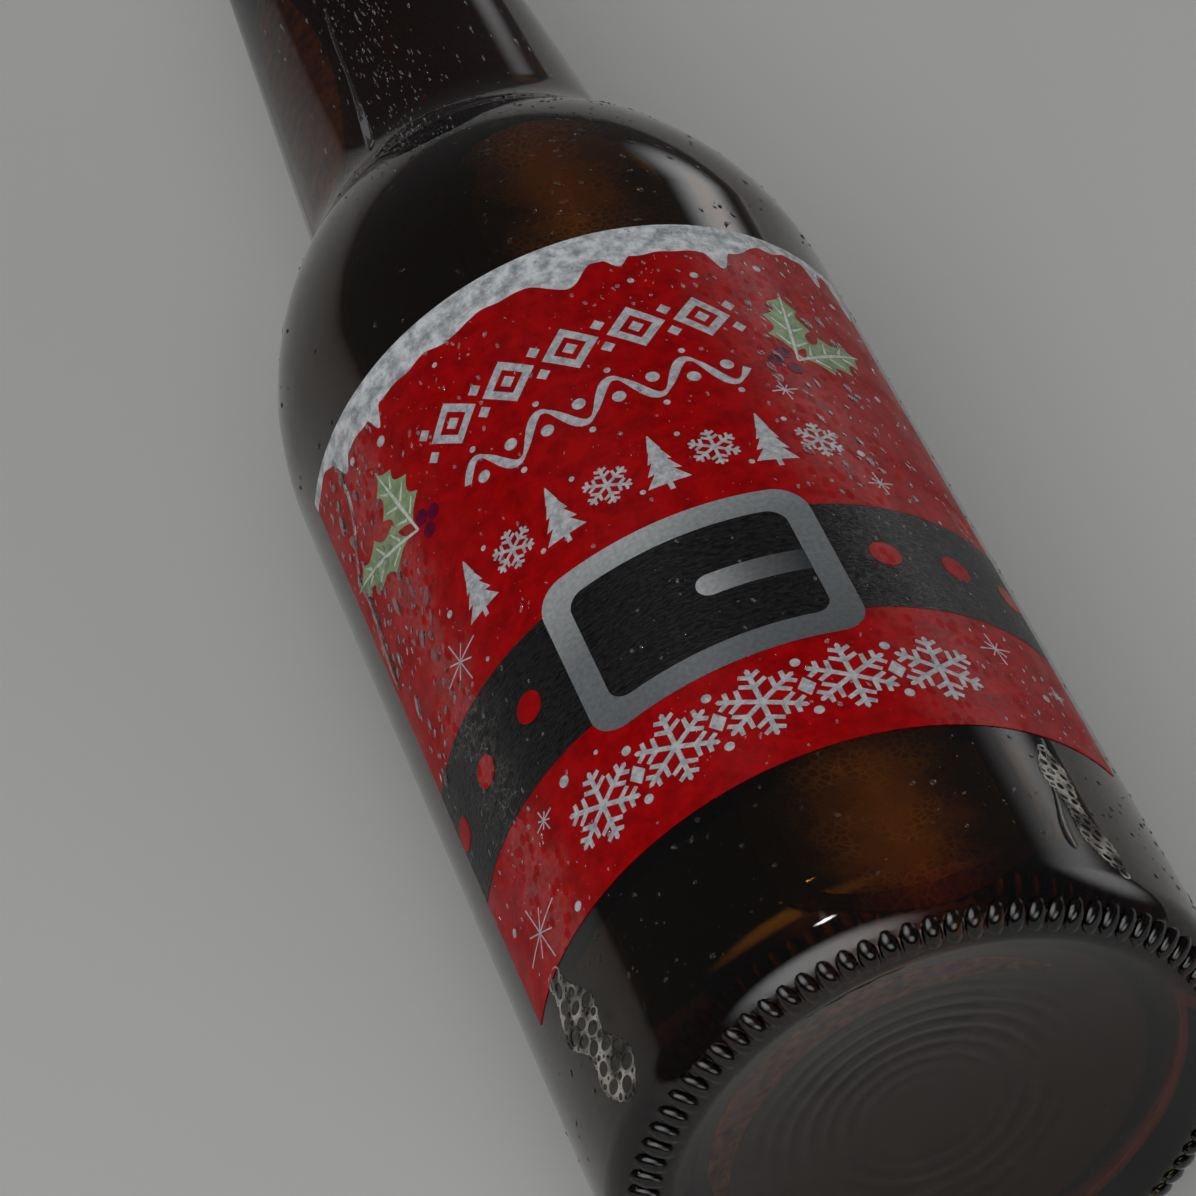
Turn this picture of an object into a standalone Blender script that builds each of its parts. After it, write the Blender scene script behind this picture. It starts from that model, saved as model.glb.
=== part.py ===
"""Longneck beer bottle of brown glass, full and capped, lying on its side with its label up.

The bottle's axis runs along Y: the base is at -Y and the crown cap at +Y. The origin is on the floor,
under the middle of the bottle. Each turned piece is drawn upright, from its base up, and then laid down.
"""

from math import cos, hypot, pi, radians, sin, sqrt

import bmesh
import bpy
from mathutils import Matrix, Vector

MM = 0.001

# Bottle, measured upright from the plane that it would stand on
BOTTLE_HEIGHT = 228.6 * MM
BODY_RADIUS = 30.5 * MM
WALL = 2.4 * MM
SHOULDER_START = 106.0 * MM
SHOULDER_RADIUS = 45.9 * MM
SHOULDER_TURN = radians(36.4)
THROAT_RADIUS = 18.8 * MM
NECK_TAPER = radians(4.2)
NECK_TOP_RADIUS = 13.25 * MM
NECK_TOP_DROP = 18.0 * MM
TURN_STEPS = 48

# Base: rounded heel, bearing ring, shallow punt, and a ring of knurls that the bottle stands on
HEEL_RADIUS = 4.5 * MM
PUNT_DEPTH = 4.2 * MM
PUNT_POWER = 2.2
BASE_THICKNESS = 3.2 * MM
INNER_HEEL_RADIUS = 6.0 * MM
KNURLS = 90
KNURL_LENGTH = 2.8 * MM
KNURL_WIDTH = 1.5 * MM
KNURL_RISE = 0.45 * MM
KNURL_TILT = radians(24)

# Crown finish, as distances below the mouth
BORE_RADIUS = 8.25 * MM
LIP_RADIUS = 10.4 * MM
LOCKING_RING_RADIUS = 13.1 * MM
GROOVE_RADIUS = 12.4 * MM
BEAD_RADIUS = 14.2 * MM

# Beer: the bubble of air lies along the top of the bottle
CLEARANCE = 0.3 * MM
AIR_DEPTH = 2.6 * MM

# Crown cap
CAP_HEIGHT = 6.0 * MM
CAP_TOP_RADIUS = 10.2 * MM
CAP_SKIRT_RADIUS = 14.2 * MM
CAP_SHEET = 0.3 * MM
CAP_FLUTES = 21
POINTS_PER_FLUTE = 4
FLUTE_DEPTH = 0.45 * MM

# Label, wrapped round the body, its middle turned from straight up towards -X
LABEL_BOTTOM = 22.9 * MM
LABEL_HEIGHT = 75.0 * MM
LABEL_WIDTH = 74.6 * MM
LABEL_TURN = radians(-14.7)
LABEL_PAPER = 0.3 * MM
LABEL_STEPS = 40

# The bottle rests on a narrow flat along its lowest line
FLAT_WIDTH = 8.0 * MM

HEEL_CENTRE_RADIUS = BODY_RADIUS - HEEL_RADIUS
KNURL_REACH = hypot(KNURL_LENGTH / 2 * sin(KNURL_TILT), KNURL_RISE * cos(KNURL_TILT))
BEARING_HEIGHT = KNURL_REACH - HEEL_RADIUS * (1 - cos(KNURL_TILT))
HEEL_CENTRE_HEIGHT = BEARING_HEIGHT + HEEL_RADIUS

LABEL_RADIUS = BODY_RADIUS + CLEARANCE
LABEL_HALF_ANGLE = LABEL_WIDTH / 2 / BODY_RADIUS
LABEL_REACH = (LABEL_RADIUS + LABEL_PAPER) * sin(LABEL_HALF_ANGLE - LABEL_TURN)

CAP_TOP = BOTTLE_HEIGHT + CLEARANCE + CAP_SHEET
AXIS_X = (LABEL_REACH - BODY_RADIUS) / 2
AXIS_HEIGHT = sqrt(BODY_RADIUS ** 2 - (FLAT_WIDTH / 2) ** 2)
BASE_Y = -CAP_TOP / 2
LAID_DOWN = Matrix.Translation((AXIS_X, BASE_Y, AXIS_HEIGHT)) @ Matrix.Rotation(-pi / 2, 4, "X")


def clear_scene():
    for item in list(bpy.data.objects):
        bpy.data.objects.remove(item, do_unlink=True)


def new_collection(name):
    group = bpy.data.collections.new(name)
    bpy.context.scene.collection.children.link(group)
    return group


def new_material(name, colour, roughness, metallic=0.0, transmission=0.0):
    material = bpy.data.materials.new(name)
    material.use_nodes = True
    shader = material.node_tree.nodes["Principled BSDF"]
    shader.inputs["Base Color"].default_value = (*colour, 1.0)
    shader.inputs["Roughness"].default_value = roughness
    shader.inputs["Metallic"].default_value = metallic
    shader.inputs["Transmission Weight"].default_value = transmission
    return material


def new_object(name, mesh, group, material=None):
    item = bpy.data.objects.new(name, mesh)
    group.objects.link(item)
    item.matrix_world = LAID_DOWN
    if material:
        mesh.materials.append(material)
    return item


def arc(centre, radius, start, end, steps):
    """Points (radius, height) on an arc, its angles counted from straight out, upwards."""
    angles = [start + (end - start) * i / steps for i in range(steps + 1)]
    return [(centre[0] + radius * cos(a), centre[1] + radius * sin(a)) for a in angles]


def shoulder_and_throat(inset, shoulder_steps, throat_steps):
    """The curve from the body up to the neck, at a distance inside the outer face."""
    centre = (BODY_RADIUS - SHOULDER_RADIUS, SHOULDER_START)
    shoulder = arc(centre, SHOULDER_RADIUS - inset, 0, SHOULDER_TURN, shoulder_steps)
    reach = SHOULDER_RADIUS + THROAT_RADIUS
    throat_centre = (centre[0] + reach * cos(SHOULDER_TURN), centre[1] + reach * sin(SHOULDER_TURN))
    throat = arc(throat_centre, THROAT_RADIUS + inset, SHOULDER_TURN + pi, NECK_TAPER + pi, throat_steps)
    return shoulder + throat[1:]


def punt_height(radius):
    return BEARING_HEIGHT + PUNT_DEPTH * (1 - (radius / HEEL_CENTRE_RADIUS) ** PUNT_POWER)


def inner_profile(inset):
    """The inside face from the middle of the floor up to the top of the neck, moved in by inset."""
    wall_radius = BODY_RADIUS - WALL - inset
    floor_radii = [0.0, 9 * MM, 16 * MM, 20 * MM]
    points = [(radius, punt_height(radius) + BASE_THICKNESS + inset) for radius in floor_radii]
    heel_radius = INNER_HEEL_RADIUS - inset
    heel_edge = wall_radius - heel_radius
    heel_centre_height = punt_height(heel_edge) + BASE_THICKNESS + INNER_HEEL_RADIUS
    points += arc((heel_edge, heel_centre_height), heel_radius, -radians(80), 0, 4)
    points += shoulder_and_throat(WALL + inset, 6, 4)
    return points


def neck_inside(inset):
    return NECK_TOP_RADIUS - WALL - inset, BOTTLE_HEIGHT - NECK_TOP_DROP


def bottle_profile():
    """The whole section of the glass: up its inside, over the lip, and down its outside."""
    top = BOTTLE_HEIGHT
    inside = inner_profile(0.0) + [neck_inside(0.0)]
    inside += [(BORE_RADIUS, top - 12.0 * MM), (BORE_RADIUS, top - 1.0 * MM)]
    finish = [
        (BORE_RADIUS + 0.9 * MM, top),
        (LIP_RADIUS, top - 0.4 * MM),
        (LOCKING_RING_RADIUS - 1.0 * MM, top - 2.4 * MM),
        (LOCKING_RING_RADIUS, top - 4.4 * MM),
        (LOCKING_RING_RADIUS - 0.2 * MM, top - 5.6 * MM),
        (GROOVE_RADIUS, top - 6.4 * MM),
        (GROOVE_RADIUS, top - 8.6 * MM),
        (BEAD_RADIUS - 0.5 * MM, top - 10.2 * MM),
        (BEAD_RADIUS, top - 11.4 * MM),
        (BEAD_RADIUS, top - 14.4 * MM),
        (BEAD_RADIUS - 0.5 * MM, top - 15.8 * MM),
        (NECK_TOP_RADIUS, top - NECK_TOP_DROP),
    ]
    outside = shoulder_and_throat(0.0, 8, 6)[::-1]
    heel = arc((HEEL_CENTRE_RADIUS, HEEL_CENTRE_HEIGHT), HEEL_RADIUS, 0, -pi / 2, 5)
    punt = [(radius, punt_height(radius)) for radius in (23.5 * MM, 20 * MM, 15 * MM, 8 * MM, 0.0)]
    return inside + finish + outside + heel + punt


def turned(name, profile, group, material):
    mesh = bpy.data.meshes.new(name)
    points = [(radius, 0, height) for radius, height in profile]
    mesh.from_pydata(points, [(i, i + 1) for i in range(len(points) - 1)], [])
    item = new_object(name, mesh, group, material)
    screw = item.modifiers.new("Turn", "SCREW")
    screw.steps = TURN_STEPS
    screw.render_steps = TURN_STEPS
    screw.use_normal_calculate = True
    screw.use_merge_vertices = True
    screw.merge_threshold = 0.000001
    screw.use_smooth_shade = True
    return item


def make_cutter(item):
    item.hide_render = True
    item.display_type = "WIRE"


def boolean(item, cutter, operation):
    modifier = item.modifiers.new(cutter.name, "BOOLEAN")
    modifier.operation = operation
    modifier.solver = "EXACT"
    modifier.object = cutter


def knurl_ring(group):
    """Beads moulded on the heel, each longer outwards than it is wide."""
    bm = bmesh.new()
    outwards = HEEL_CENTRE_RADIUS + HEEL_RADIUS * sin(KNURL_TILT)
    height = HEEL_CENTRE_HEIGHT - HEEL_RADIUS * cos(KNURL_TILT)
    size = Matrix.Diagonal((KNURL_LENGTH / 2, KNURL_WIDTH / 2, KNURL_RISE, 1))
    bead = Matrix.Translation((outwards, 0, height)) @ Matrix.Rotation(-KNURL_TILT, 4, "Y") @ size
    for i in range(KNURLS):
        place = Matrix.Rotation(2 * pi * (i + 0.5) / KNURLS, 4, "Z") @ bead
        bmesh.ops.create_uvsphere(bm, u_segments=6, v_segments=4, radius=1, matrix=place)
    mesh = bpy.data.meshes.new("knurls")
    bm.to_mesh(mesh)
    bm.free()
    item = new_object("knurls", mesh, group)
    make_cutter(item)
    return item


def block(name, low, high, group):
    """A box between two corners, in the laid-down bottle's own frame."""
    bm = bmesh.new()
    bmesh.ops.create_cube(bm, size=1)
    size = Vector(high) - Vector(low)
    middle = (Vector(high) + Vector(low)) / 2
    bmesh.ops.transform(bm, matrix=Matrix.Translation(middle) @ Matrix.Diagonal((*size, 1)), verts=bm.verts)
    mesh = bpy.data.meshes.new(name)
    bm.to_mesh(mesh)
    bm.free()
    item = new_object(name, mesh, group)
    item.matrix_world = Matrix.Identity(4)
    make_cutter(item)
    return item


def glass_bottle(parts, cutters):
    brown_glass = new_material("brown glass", (0.16, 0.05, 0.012), 0.05, transmission=0.8)
    bottle = turned("glass_bottle", bottle_profile(), parts, brown_glass)
    boolean(bottle, knurl_ring(cutters), "UNION")
    side = BODY_RADIUS * 2
    floor = block("floor", (-side, 2 * BASE_Y, -side), (side, -2 * BASE_Y, 0), cutters)
    boolean(bottle, floor, "DIFFERENCE")


def beer(parts, cutters):
    lager = new_material("beer", (0.35, 0.12, 0.02), 0.1, transmission=0.5)
    neck_radius, neck_top = neck_inside(CLEARANCE)
    mouth = BOTTLE_HEIGHT - 1.2 * MM
    bore = BORE_RADIUS - CLEARANCE
    profile = inner_profile(CLEARANCE) + [(neck_radius, neck_top), (bore, BOTTLE_HEIGHT - 12.0 * MM)]
    profile += [(bore, mouth), (0.0, mouth)]
    drink = turned("beer", profile[::-1], parts, lager)
    level = AXIS_HEIGHT + BODY_RADIUS - WALL - AIR_DEPTH
    side = BODY_RADIUS * 2
    air = block("air", (-side, 2 * BASE_Y, level), (side, -2 * BASE_Y, level + side), cutters)
    boolean(drink, air, "DIFFERENCE")


def crown_cap(parts):
    """Pressed sheet: a flat top, a rounded edge and a skirt of flutes that deepen downwards."""
    tin = new_material("tinplate", (0.62, 0.62, 0.63), 0.3, metallic=1.0)
    rings = [
        (CAP_TOP_RADIUS + 1.6 * MM, 0.45 * MM, 0.0),
        (CAP_TOP_RADIUS + 2.7 * MM, 1.5 * MM, 0.12),
        (CAP_SKIRT_RADIUS - 0.4 * MM, 3.0 * MM, 0.4),
        (CAP_SKIRT_RADIUS, CAP_HEIGHT, 1.0),
    ]
    count = CAP_FLUTES * POINTS_PER_FLUTE
    bm = bmesh.new()
    bmesh.ops.create_circle(bm, cap_ends=True, segments=count, radius=CAP_TOP_RADIUS)
    bmesh.ops.translate(bm, vec=(0, 0, CAP_TOP), verts=bm.verts)
    edge = list(bm.edges)
    for radius, drop, share in rings:
        made = bmesh.ops.extrude_edge_only(bm, edges=edge)["geom"]
        edge = [part for part in made if isinstance(part, bmesh.types.BMEdge)]
        for vert in (part for part in made if isinstance(part, bmesh.types.BMVert)):
            direction = Vector((vert.co.x, vert.co.y)).normalized()
            turn = Vector((1, 0)).angle_signed(direction)
            wave = FLUTE_DEPTH * share * cos(CAP_FLUTES * turn)
            vert.co = (*(direction * (radius + wave)), CAP_TOP - drop)
    bmesh.ops.recalc_face_normals(bm, faces=bm.faces)
    bm.normal_update()
    top = max(bm.faces, key=lambda face: len(face.verts))
    if top.normal.z < 0:
        bmesh.ops.reverse_faces(bm, faces=bm.faces)
    mesh = bpy.data.meshes.new("crown_cap")
    bm.to_mesh(mesh)
    bm.free()
    mesh.shade_smooth()
    item = new_object("crown_cap", mesh, parts, tin)
    sheet = item.modifiers.new("Sheet", "SOLIDIFY")
    sheet.thickness = CAP_SHEET
    sheet.offset = -1


def label(parts):
    """A rectangle of paper, rolled round the body."""
    paper = new_material("label paper", (0.45, 0.01, 0.01), 0.45)
    bm = bmesh.new()
    bmesh.ops.create_grid(bm, x_segments=LABEL_STEPS, y_segments=1, size=1)
    for vert in bm.verts:
        angle = LABEL_TURN + vert.co.x * LABEL_HALF_ANGLE
        height = LABEL_BOTTOM + (vert.co.y + 1) / 2 * LABEL_HEIGHT
        vert.co = (LABEL_RADIUS * sin(angle), -LABEL_RADIUS * cos(angle), height)
    mesh = bpy.data.meshes.new("label")
    bm.to_mesh(mesh)
    bm.free()
    mesh.shade_smooth()
    item = new_object("label", mesh, parts, paper)
    sheet = item.modifiers.new("Paper", "SOLIDIFY")
    sheet.thickness = LABEL_PAPER
    sheet.offset = 1


clear_scene()
bottle_parts = new_collection("beer bottle")
bottle_cutters = new_collection("cutters")
glass_bottle(bottle_parts, bottle_cutters)
beer(bottle_parts, bottle_cutters)
crown_cap(bottle_parts)
label(bottle_parts)
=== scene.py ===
"""A brown beer bottle, full, capped and wet, lying on its side with its red winter label up."""

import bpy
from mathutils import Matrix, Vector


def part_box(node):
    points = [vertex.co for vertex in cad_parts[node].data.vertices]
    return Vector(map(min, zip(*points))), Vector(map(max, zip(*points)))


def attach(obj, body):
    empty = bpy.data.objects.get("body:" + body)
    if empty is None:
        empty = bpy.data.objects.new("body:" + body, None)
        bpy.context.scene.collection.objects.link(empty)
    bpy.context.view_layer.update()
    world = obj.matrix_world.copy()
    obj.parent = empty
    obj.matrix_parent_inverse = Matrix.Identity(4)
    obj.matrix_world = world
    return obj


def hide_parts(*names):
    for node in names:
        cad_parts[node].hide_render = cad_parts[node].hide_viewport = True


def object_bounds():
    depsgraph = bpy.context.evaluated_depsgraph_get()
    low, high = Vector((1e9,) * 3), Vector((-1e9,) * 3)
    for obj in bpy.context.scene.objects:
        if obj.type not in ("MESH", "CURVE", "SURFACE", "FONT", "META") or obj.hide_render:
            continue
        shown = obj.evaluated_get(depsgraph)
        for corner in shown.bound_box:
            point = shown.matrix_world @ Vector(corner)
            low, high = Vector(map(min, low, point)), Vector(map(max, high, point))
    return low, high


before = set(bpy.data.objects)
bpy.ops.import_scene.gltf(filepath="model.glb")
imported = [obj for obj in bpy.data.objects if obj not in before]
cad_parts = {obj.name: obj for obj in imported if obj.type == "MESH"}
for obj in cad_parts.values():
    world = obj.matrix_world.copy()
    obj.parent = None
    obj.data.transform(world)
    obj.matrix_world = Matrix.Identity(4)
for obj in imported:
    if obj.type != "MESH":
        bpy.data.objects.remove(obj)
cad_box = [list(corner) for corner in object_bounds()]

import math

import bpy
import numpy as np
from mathutils import Vector


# Floor: a sheet of matt board, painted pale grey, that the bottle lies on.
# It shows a soft shadow and lights the bottle from below.
def linear(colour):
    """An sRGB hex colour as linear values."""
    parts = [int(colour[i:i + 2], 16) / 255 for i in (1, 3, 5)]
    return (*[part / 12.92 if part <= 0.04045 else ((part + 0.055) / 1.055) ** 2.4 for part in parts], 1.0)


def connect(tree, node, inputs):
    """Give a node's inputs a value, or link them to the output of another node."""
    for name, value in inputs.items():
        if isinstance(value, bpy.types.NodeSocket):
            tree.links.new(value, node.inputs[name])
        else:
            node.inputs[name].default_value = value


def add_node(tree, kind, inputs, **properties):
    """Add a node with its properties and inputs."""
    node = tree.nodes.new(kind)
    for name, value in properties.items():
        setattr(node, name, value)
    connect(tree, node, inputs)
    return node


def new_material(name):
    """An empty material, with its tree and its Principled shader."""
    material = bpy.data.materials.new(name)
    material.use_nodes = True
    return material, material.node_tree, material.node_tree.nodes["Principled BSDF"]


# Matt emulsion on board: a faint stipple from the roller, 1.5 mm across, and almost no gloss.
board_paint, tree, shader = new_material("matt_board_paint")
where = add_node(tree, "ShaderNodeTexCoord", {}).outputs["Object"]
stipple = add_node(tree, "ShaderNodeTexNoise", {"Vector": where, "Scale": 1 / 0.0015, "Detail": 0.0})
lift = add_node(tree, "ShaderNodeBump", {"Height": stipple.outputs[0], "Strength": 0.15, "Distance": 0.0001})
connect(tree, shader, {"Base Color": linear("#D9D9D7"), "Roughness": 0.85, "Normal": lift.outputs[0],
                       "Specular IOR Level": 0.2})

FLOOR_SIDE = 5.0
FLOOR_DROP = 0.00005
bpy.ops.object.select_all(action="DESELECT")
bpy.ops.mesh.primitive_plane_add(size=FLOOR_SIDE, location=(0, 0, -FLOOR_DROP))
floor = bpy.context.object
floor.name = "floor"
bpy.ops.object.transform_apply()
floor.data.materials.append(board_paint)


# Light: a dim pale room and cloth-fronted softboxes, brightest in their middle. The main one stands in
# front on the left, two on the right are mirrored down the neck and the wet label, one low in front lights
# the knurls, and a small one overhead puts a glint on the beads of water.
ROOM_COLOUR = "#F2F5F8"
ROOM_STRENGTH = 0.08
SOFT_EDGE = 0.5

room = bpy.data.worlds.new("studio_room")
room.use_nodes = True
connect(room.node_tree, room.node_tree.nodes["Background"], {"Color": linear(ROOM_COLOUR), "Strength": ROOM_STRENGTH})
bpy.context.scene.world = room
bpy.context.scene.view_settings.view_transform = "Standard"


def softbox(name, place, width, length, power):
    """A rectangular light that faces the middle of the bottle."""
    light = bpy.data.lights.new(name, "AREA")
    light.shape = "RECTANGLE"
    light.size = width
    light.size_y = length
    light.energy = power
    light.use_nodes = True
    tree = light.node_tree
    cloth = add_node(tree, "ShaderNodeNewGeometry", {})
    from_middle = add_node(tree, "ShaderNodeVectorMath", {0: cloth.outputs["Parametric"], 1: (0.5, 0.5, 0.0)},
                           operation="DISTANCE")
    glow = add_node(tree, "ShaderNodeMapRange", {"Value": from_middle.outputs["Value"], "From Min": SOFT_EDGE,
                                                 "From Max": 0.1, "To Min": 0.0, "To Max": 2.4},
                    interpolation_type="SMOOTHSTEP")
    connect(tree, tree.nodes["Emission"], {"Strength": glow.outputs[0]})
    lamp = bpy.data.objects.new(name, light)
    lamp.location = place
    lamp.rotation_euler = (BOTTLE_MIDDLE - Vector(place)).to_track_quat("-Z", "Y").to_euler()
    bpy.context.collection.objects.link(lamp)


BOTTLE_MIDDLE = Vector((0, 0, 0.03))
softbox("softbox_main", (-0.4, -0.72, 0.78), 1.5, 1.3, 8.4)
softbox("softbox_right", (0.85, 0.2, 0.3), 1.0, 0.6, 1.1)
softbox("softbox_behind", (0.55, 0.55, 0.2), 0.5, 0.3, 0.35)
softbox("softbox_low", (0.1, -0.85, 0.26), 0.8, 0.3, 0.9)
softbox("softbox_above", (-0.3, 0.4, 0.85), 0.14, 0.14, 0.8)


# Camera: where the photograph's stands from the middle of the bottle's base, 43 degrees above the floor
# and 18 degrees to the left of the bottle's axis.
glass_low, glass_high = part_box("glass_bottle")
BODY_RADIUS = (glass_high.x - glass_low.x) / 2
AXIS_X = (glass_high.x + glass_low.x) / 2
AXIS_Z = glass_high.z - BODY_RADIUS
BASE_Y = -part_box("crown_cap")[1].y
MOUTH_HEIGHT = glass_high.y - BASE_Y

camera_data = bpy.data.cameras.new("camera")
camera_data.sensor_width = 36.0
camera_data.lens = 145.07
camera = bpy.data.objects.new("camera", camera_data)
camera.location = Vector((AXIS_X, BASE_Y, AXIS_Z)) + Vector((-0.1185, -0.2584, 0.33305))
camera.rotation_euler = Vector((0.2301, 0.6918, -0.6844)).to_track_quat("-Z", "Y").to_euler()
bpy.context.collection.objects.link(camera)
bpy.context.scene.camera = camera


# Beer: dark lager that fills the bottle up to a shallow bubble of air along the top. It wets the glass,
# so here it reaches just into the wall.
MM = 0.001
WALL = 2.4 * MM
SHOULDER_START = 106.0 * MM
SHOULDER_RADIUS = 45.9 * MM
SHOULDER_TURN = math.radians(36.4)
THROAT_RADIUS = 18.8 * MM
NECK_TAPER = math.radians(4.2)
NECK_TOP_RADIUS = 13.25 * MM
NECK_TOP = MOUTH_HEIGHT - 18.0 * MM
HEEL_RADIUS = 4.5 * MM
BEARING_HEIGHT = 0.31 * MM
PUNT_DEPTH = 4.2 * MM
PUNT_POWER = 2.2
BASE_THICKNESS = 3.2 * MM
INNER_HEEL_RADIUS = 6.0 * MM
BORE_RADIUS = 8.25 * MM
HEEL_CENTRE_RADIUS = BODY_RADIUS - HEEL_RADIUS
INTO_WALL = 0.15 * MM
BEER_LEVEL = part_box("beer")[1].z
TURN_STEPS = 192


def arc(centre, radius, start, end, steps):
    """Points (radius, height) on an arc, its angles counted from straight out, upwards."""
    angles = [start + (end - start) * i / steps for i in range(steps + 1)]
    return [(centre[0] + radius * math.cos(a), centre[1] + radius * math.sin(a)) for a in angles]


def shoulder_and_throat(inset):
    """The curve from the body up to the neck, at a distance inside the outer face."""
    centre = (BODY_RADIUS - SHOULDER_RADIUS, SHOULDER_START)
    shoulder = arc(centre, SHOULDER_RADIUS - inset, 0, SHOULDER_TURN, 22)
    reach = SHOULDER_RADIUS + THROAT_RADIUS
    throat_centre = (centre[0] + reach * math.cos(SHOULDER_TURN), centre[1] + reach * math.sin(SHOULDER_TURN))
    throat = arc(throat_centre, THROAT_RADIUS + inset, SHOULDER_TURN + math.pi, NECK_TAPER + math.pi, 14)
    return shoulder + throat[1:]


def punt_height(radius):
    """The hollow under the base, above the plane that the bottle would stand on."""
    return BEARING_HEIGHT + PUNT_DEPTH * (1 - (radius / HEEL_CENTRE_RADIUS) ** PUNT_POWER)


def inside_profile(inset):
    """The inside face from the middle of the base to the bore, moved in by inset."""
    heel_edge = BODY_RADIUS - WALL - INNER_HEEL_RADIUS
    heel_centre = (heel_edge, punt_height(heel_edge) + BASE_THICKNESS + INNER_HEEL_RADIUS)
    floor_radii = [heel_edge * 0.97 * i / 8 for i in range(9)]
    points = [(radius, punt_height(radius) + BASE_THICKNESS + inset) for radius in floor_radii]
    points += arc(heel_centre, INNER_HEEL_RADIUS - inset, -math.radians(80), 0, 10)
    points += shoulder_and_throat(WALL + inset)
    points += [(NECK_TOP_RADIUS - WALL - inset, NECK_TOP), (BORE_RADIUS - inset, MOUTH_HEIGHT - 12.0 * MM)]
    return points


def select_only(piece):
    """Work on this piece alone."""
    bpy.ops.object.select_all(action="DESELECT")
    piece.select_set(True)
    bpy.context.view_layer.objects.active = piece


def turned(name, profile):
    """Draw a section beside the bottle's axis, point by point, and spin it round the axis."""
    radius, height = profile[0]
    bpy.ops.object.select_all(action="DESELECT")
    bpy.ops.mesh.primitive_plane_add(size=MM, location=(AXIS_X + radius, BASE_Y + height, AXIS_Z))
    piece = bpy.context.object
    piece.name = name
    bpy.ops.object.transform_apply()
    bpy.ops.object.mode_set(mode="EDIT")
    bpy.ops.mesh.merge(type="CENTER")
    for (radius, height), (next_radius, next_height) in zip(profile, profile[1:]):
        step = (next_radius - radius, next_height - height, 0)
        bpy.ops.mesh.extrude_region_move(TRANSFORM_OT_translate={"value": step})
    bpy.ops.mesh.select_all(action="SELECT")
    bpy.ops.mesh.spin(steps=TURN_STEPS, angle=2 * math.pi, center=(AXIS_X, BASE_Y, AXIS_Z), axis=(0, 1, 0))
    bpy.ops.mesh.select_all(action="SELECT")
    bpy.ops.mesh.remove_doubles(threshold=0.002 * MM)
    bpy.ops.mesh.normals_make_consistent(inside=False)
    bpy.ops.object.mode_set(mode="OBJECT")
    return piece


def cut_level(piece, height, keep):
    """Cut a piece along a level plane, keep what is above or below, and close the cut."""
    select_only(piece)
    bpy.ops.object.mode_set(mode="EDIT")
    bpy.ops.mesh.select_all(action="SELECT")
    bpy.ops.mesh.bisect(plane_co=(0, 0, height), plane_no=(0, 0, 1), use_fill=True, threshold=0.001 * MM,
                        clear_outer=keep == "below", clear_inner=keep == "above")
    bpy.ops.object.mode_set(mode="OBJECT")


def smooth(piece, degrees):
    """Shade round, with a crease where two faces meet at more than this angle."""
    select_only(piece)
    bpy.ops.object.shade_smooth_by_angle(angle=math.radians(degrees))


# Dark lager: clear, and so brown that 50 mm of it passes a tenth of the red light and hardly any green.
dark_lager, tree, shader = new_material("dark_lager")
connect(tree, shader, {"Base Color": linear("#FFFFFF"), "Roughness": 0.0, "IOR": 1.345, "Transmission Weight": 1.0})
depth = add_node(tree, "ShaderNodeVolumeAbsorption", {"Color": linear("#F2DF7C"), "Density": 600.0})
tree.links.new(depth.outputs[0], tree.nodes["Material Output"].inputs["Volume"])

bore_top = [(BORE_RADIUS + INTO_WALL, MOUTH_HEIGHT - 1.2 * MM), (0.0, MOUTH_HEIGHT - 1.2 * MM)]
beer = turned("dark_beer", inside_profile(-INTO_WALL) + bore_top)
cut_level(beer, BEER_LEVEL, "below")
smooth(beer, 40)
beer.data.materials.append(dark_lager)
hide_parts("beer")
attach(beer, "root")


# Froth: fine bubbles that rise to the level of the lying bottle and cling along its highest line. Through
# the brown glass they make the amber strip below the label and the glow on the shoulder.
FROTH_DEPTH = 0.9 * MM
FROTH_HALF_WIDTH = 9.0 * MM

# Froth: pale and bubbly in the middle, where it is thick, and brown with beer where it thins out.
froth_foam, tree, shader = new_material("beer_froth")
where = add_node(tree, "ShaderNodeTexCoord", {}).outputs["Object"]
cells = add_node(tree, "ShaderNodeTexVoronoi", {"Vector": where, "Scale": 1 / 0.0008}, feature="DISTANCE_TO_EDGE")
walls = add_node(tree, "ShaderNodeMapRange", {"Value": cells.outputs["Distance"], "From Max": 0.2})
tone = add_node(tree, "ShaderNodeMix", {0: walls.outputs[0], 6: linear("#F4D79E"), 7: linear("#B5833F")},
                data_type="RGBA")
even = add_node(tree, "ShaderNodeTexNoise", {"Vector": where, "Scale": 1 / 0.005, "Detail": 3.0})
bubbly = add_node(tree, "ShaderNodeMapRange", {"Value": even.outputs[0], "From Min": 0.42, "From Max": 0.6})
foam = add_node(tree, "ShaderNodeMix", {0: bubbly.outputs[0], 6: linear("#CDA05C"), 7: tone.outputs[2]},
                data_type="RGBA")
parts = add_node(tree, "ShaderNodeSeparateXYZ", {0: where})
off_middle = add_node(tree, "ShaderNodeMath", {0: parts.outputs[0], 1: AXIS_X}, operation="SUBTRACT")
width = add_node(tree, "ShaderNodeMath", {0: off_middle.outputs[0]}, operation="ABSOLUTE")
clumps = add_node(tree, "ShaderNodeTexNoise", {"Vector": where, "Scale": 1 / 0.006, "Detail": 4.0})
ragged = add_node(tree, "ShaderNodeMath", {0: clumps.outputs[0], 1: 0.008, 2: width.outputs[0]},
                  operation="MULTIPLY_ADD")
thin = add_node(tree, "ShaderNodeMapRange", {"Value": ragged.outputs[0], "From Min": 0.2 * FROTH_HALF_WIDTH,
                                             "From Max": FROTH_HALF_WIDTH + 0.004},
                interpolation_type="SMOOTHSTEP")
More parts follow.
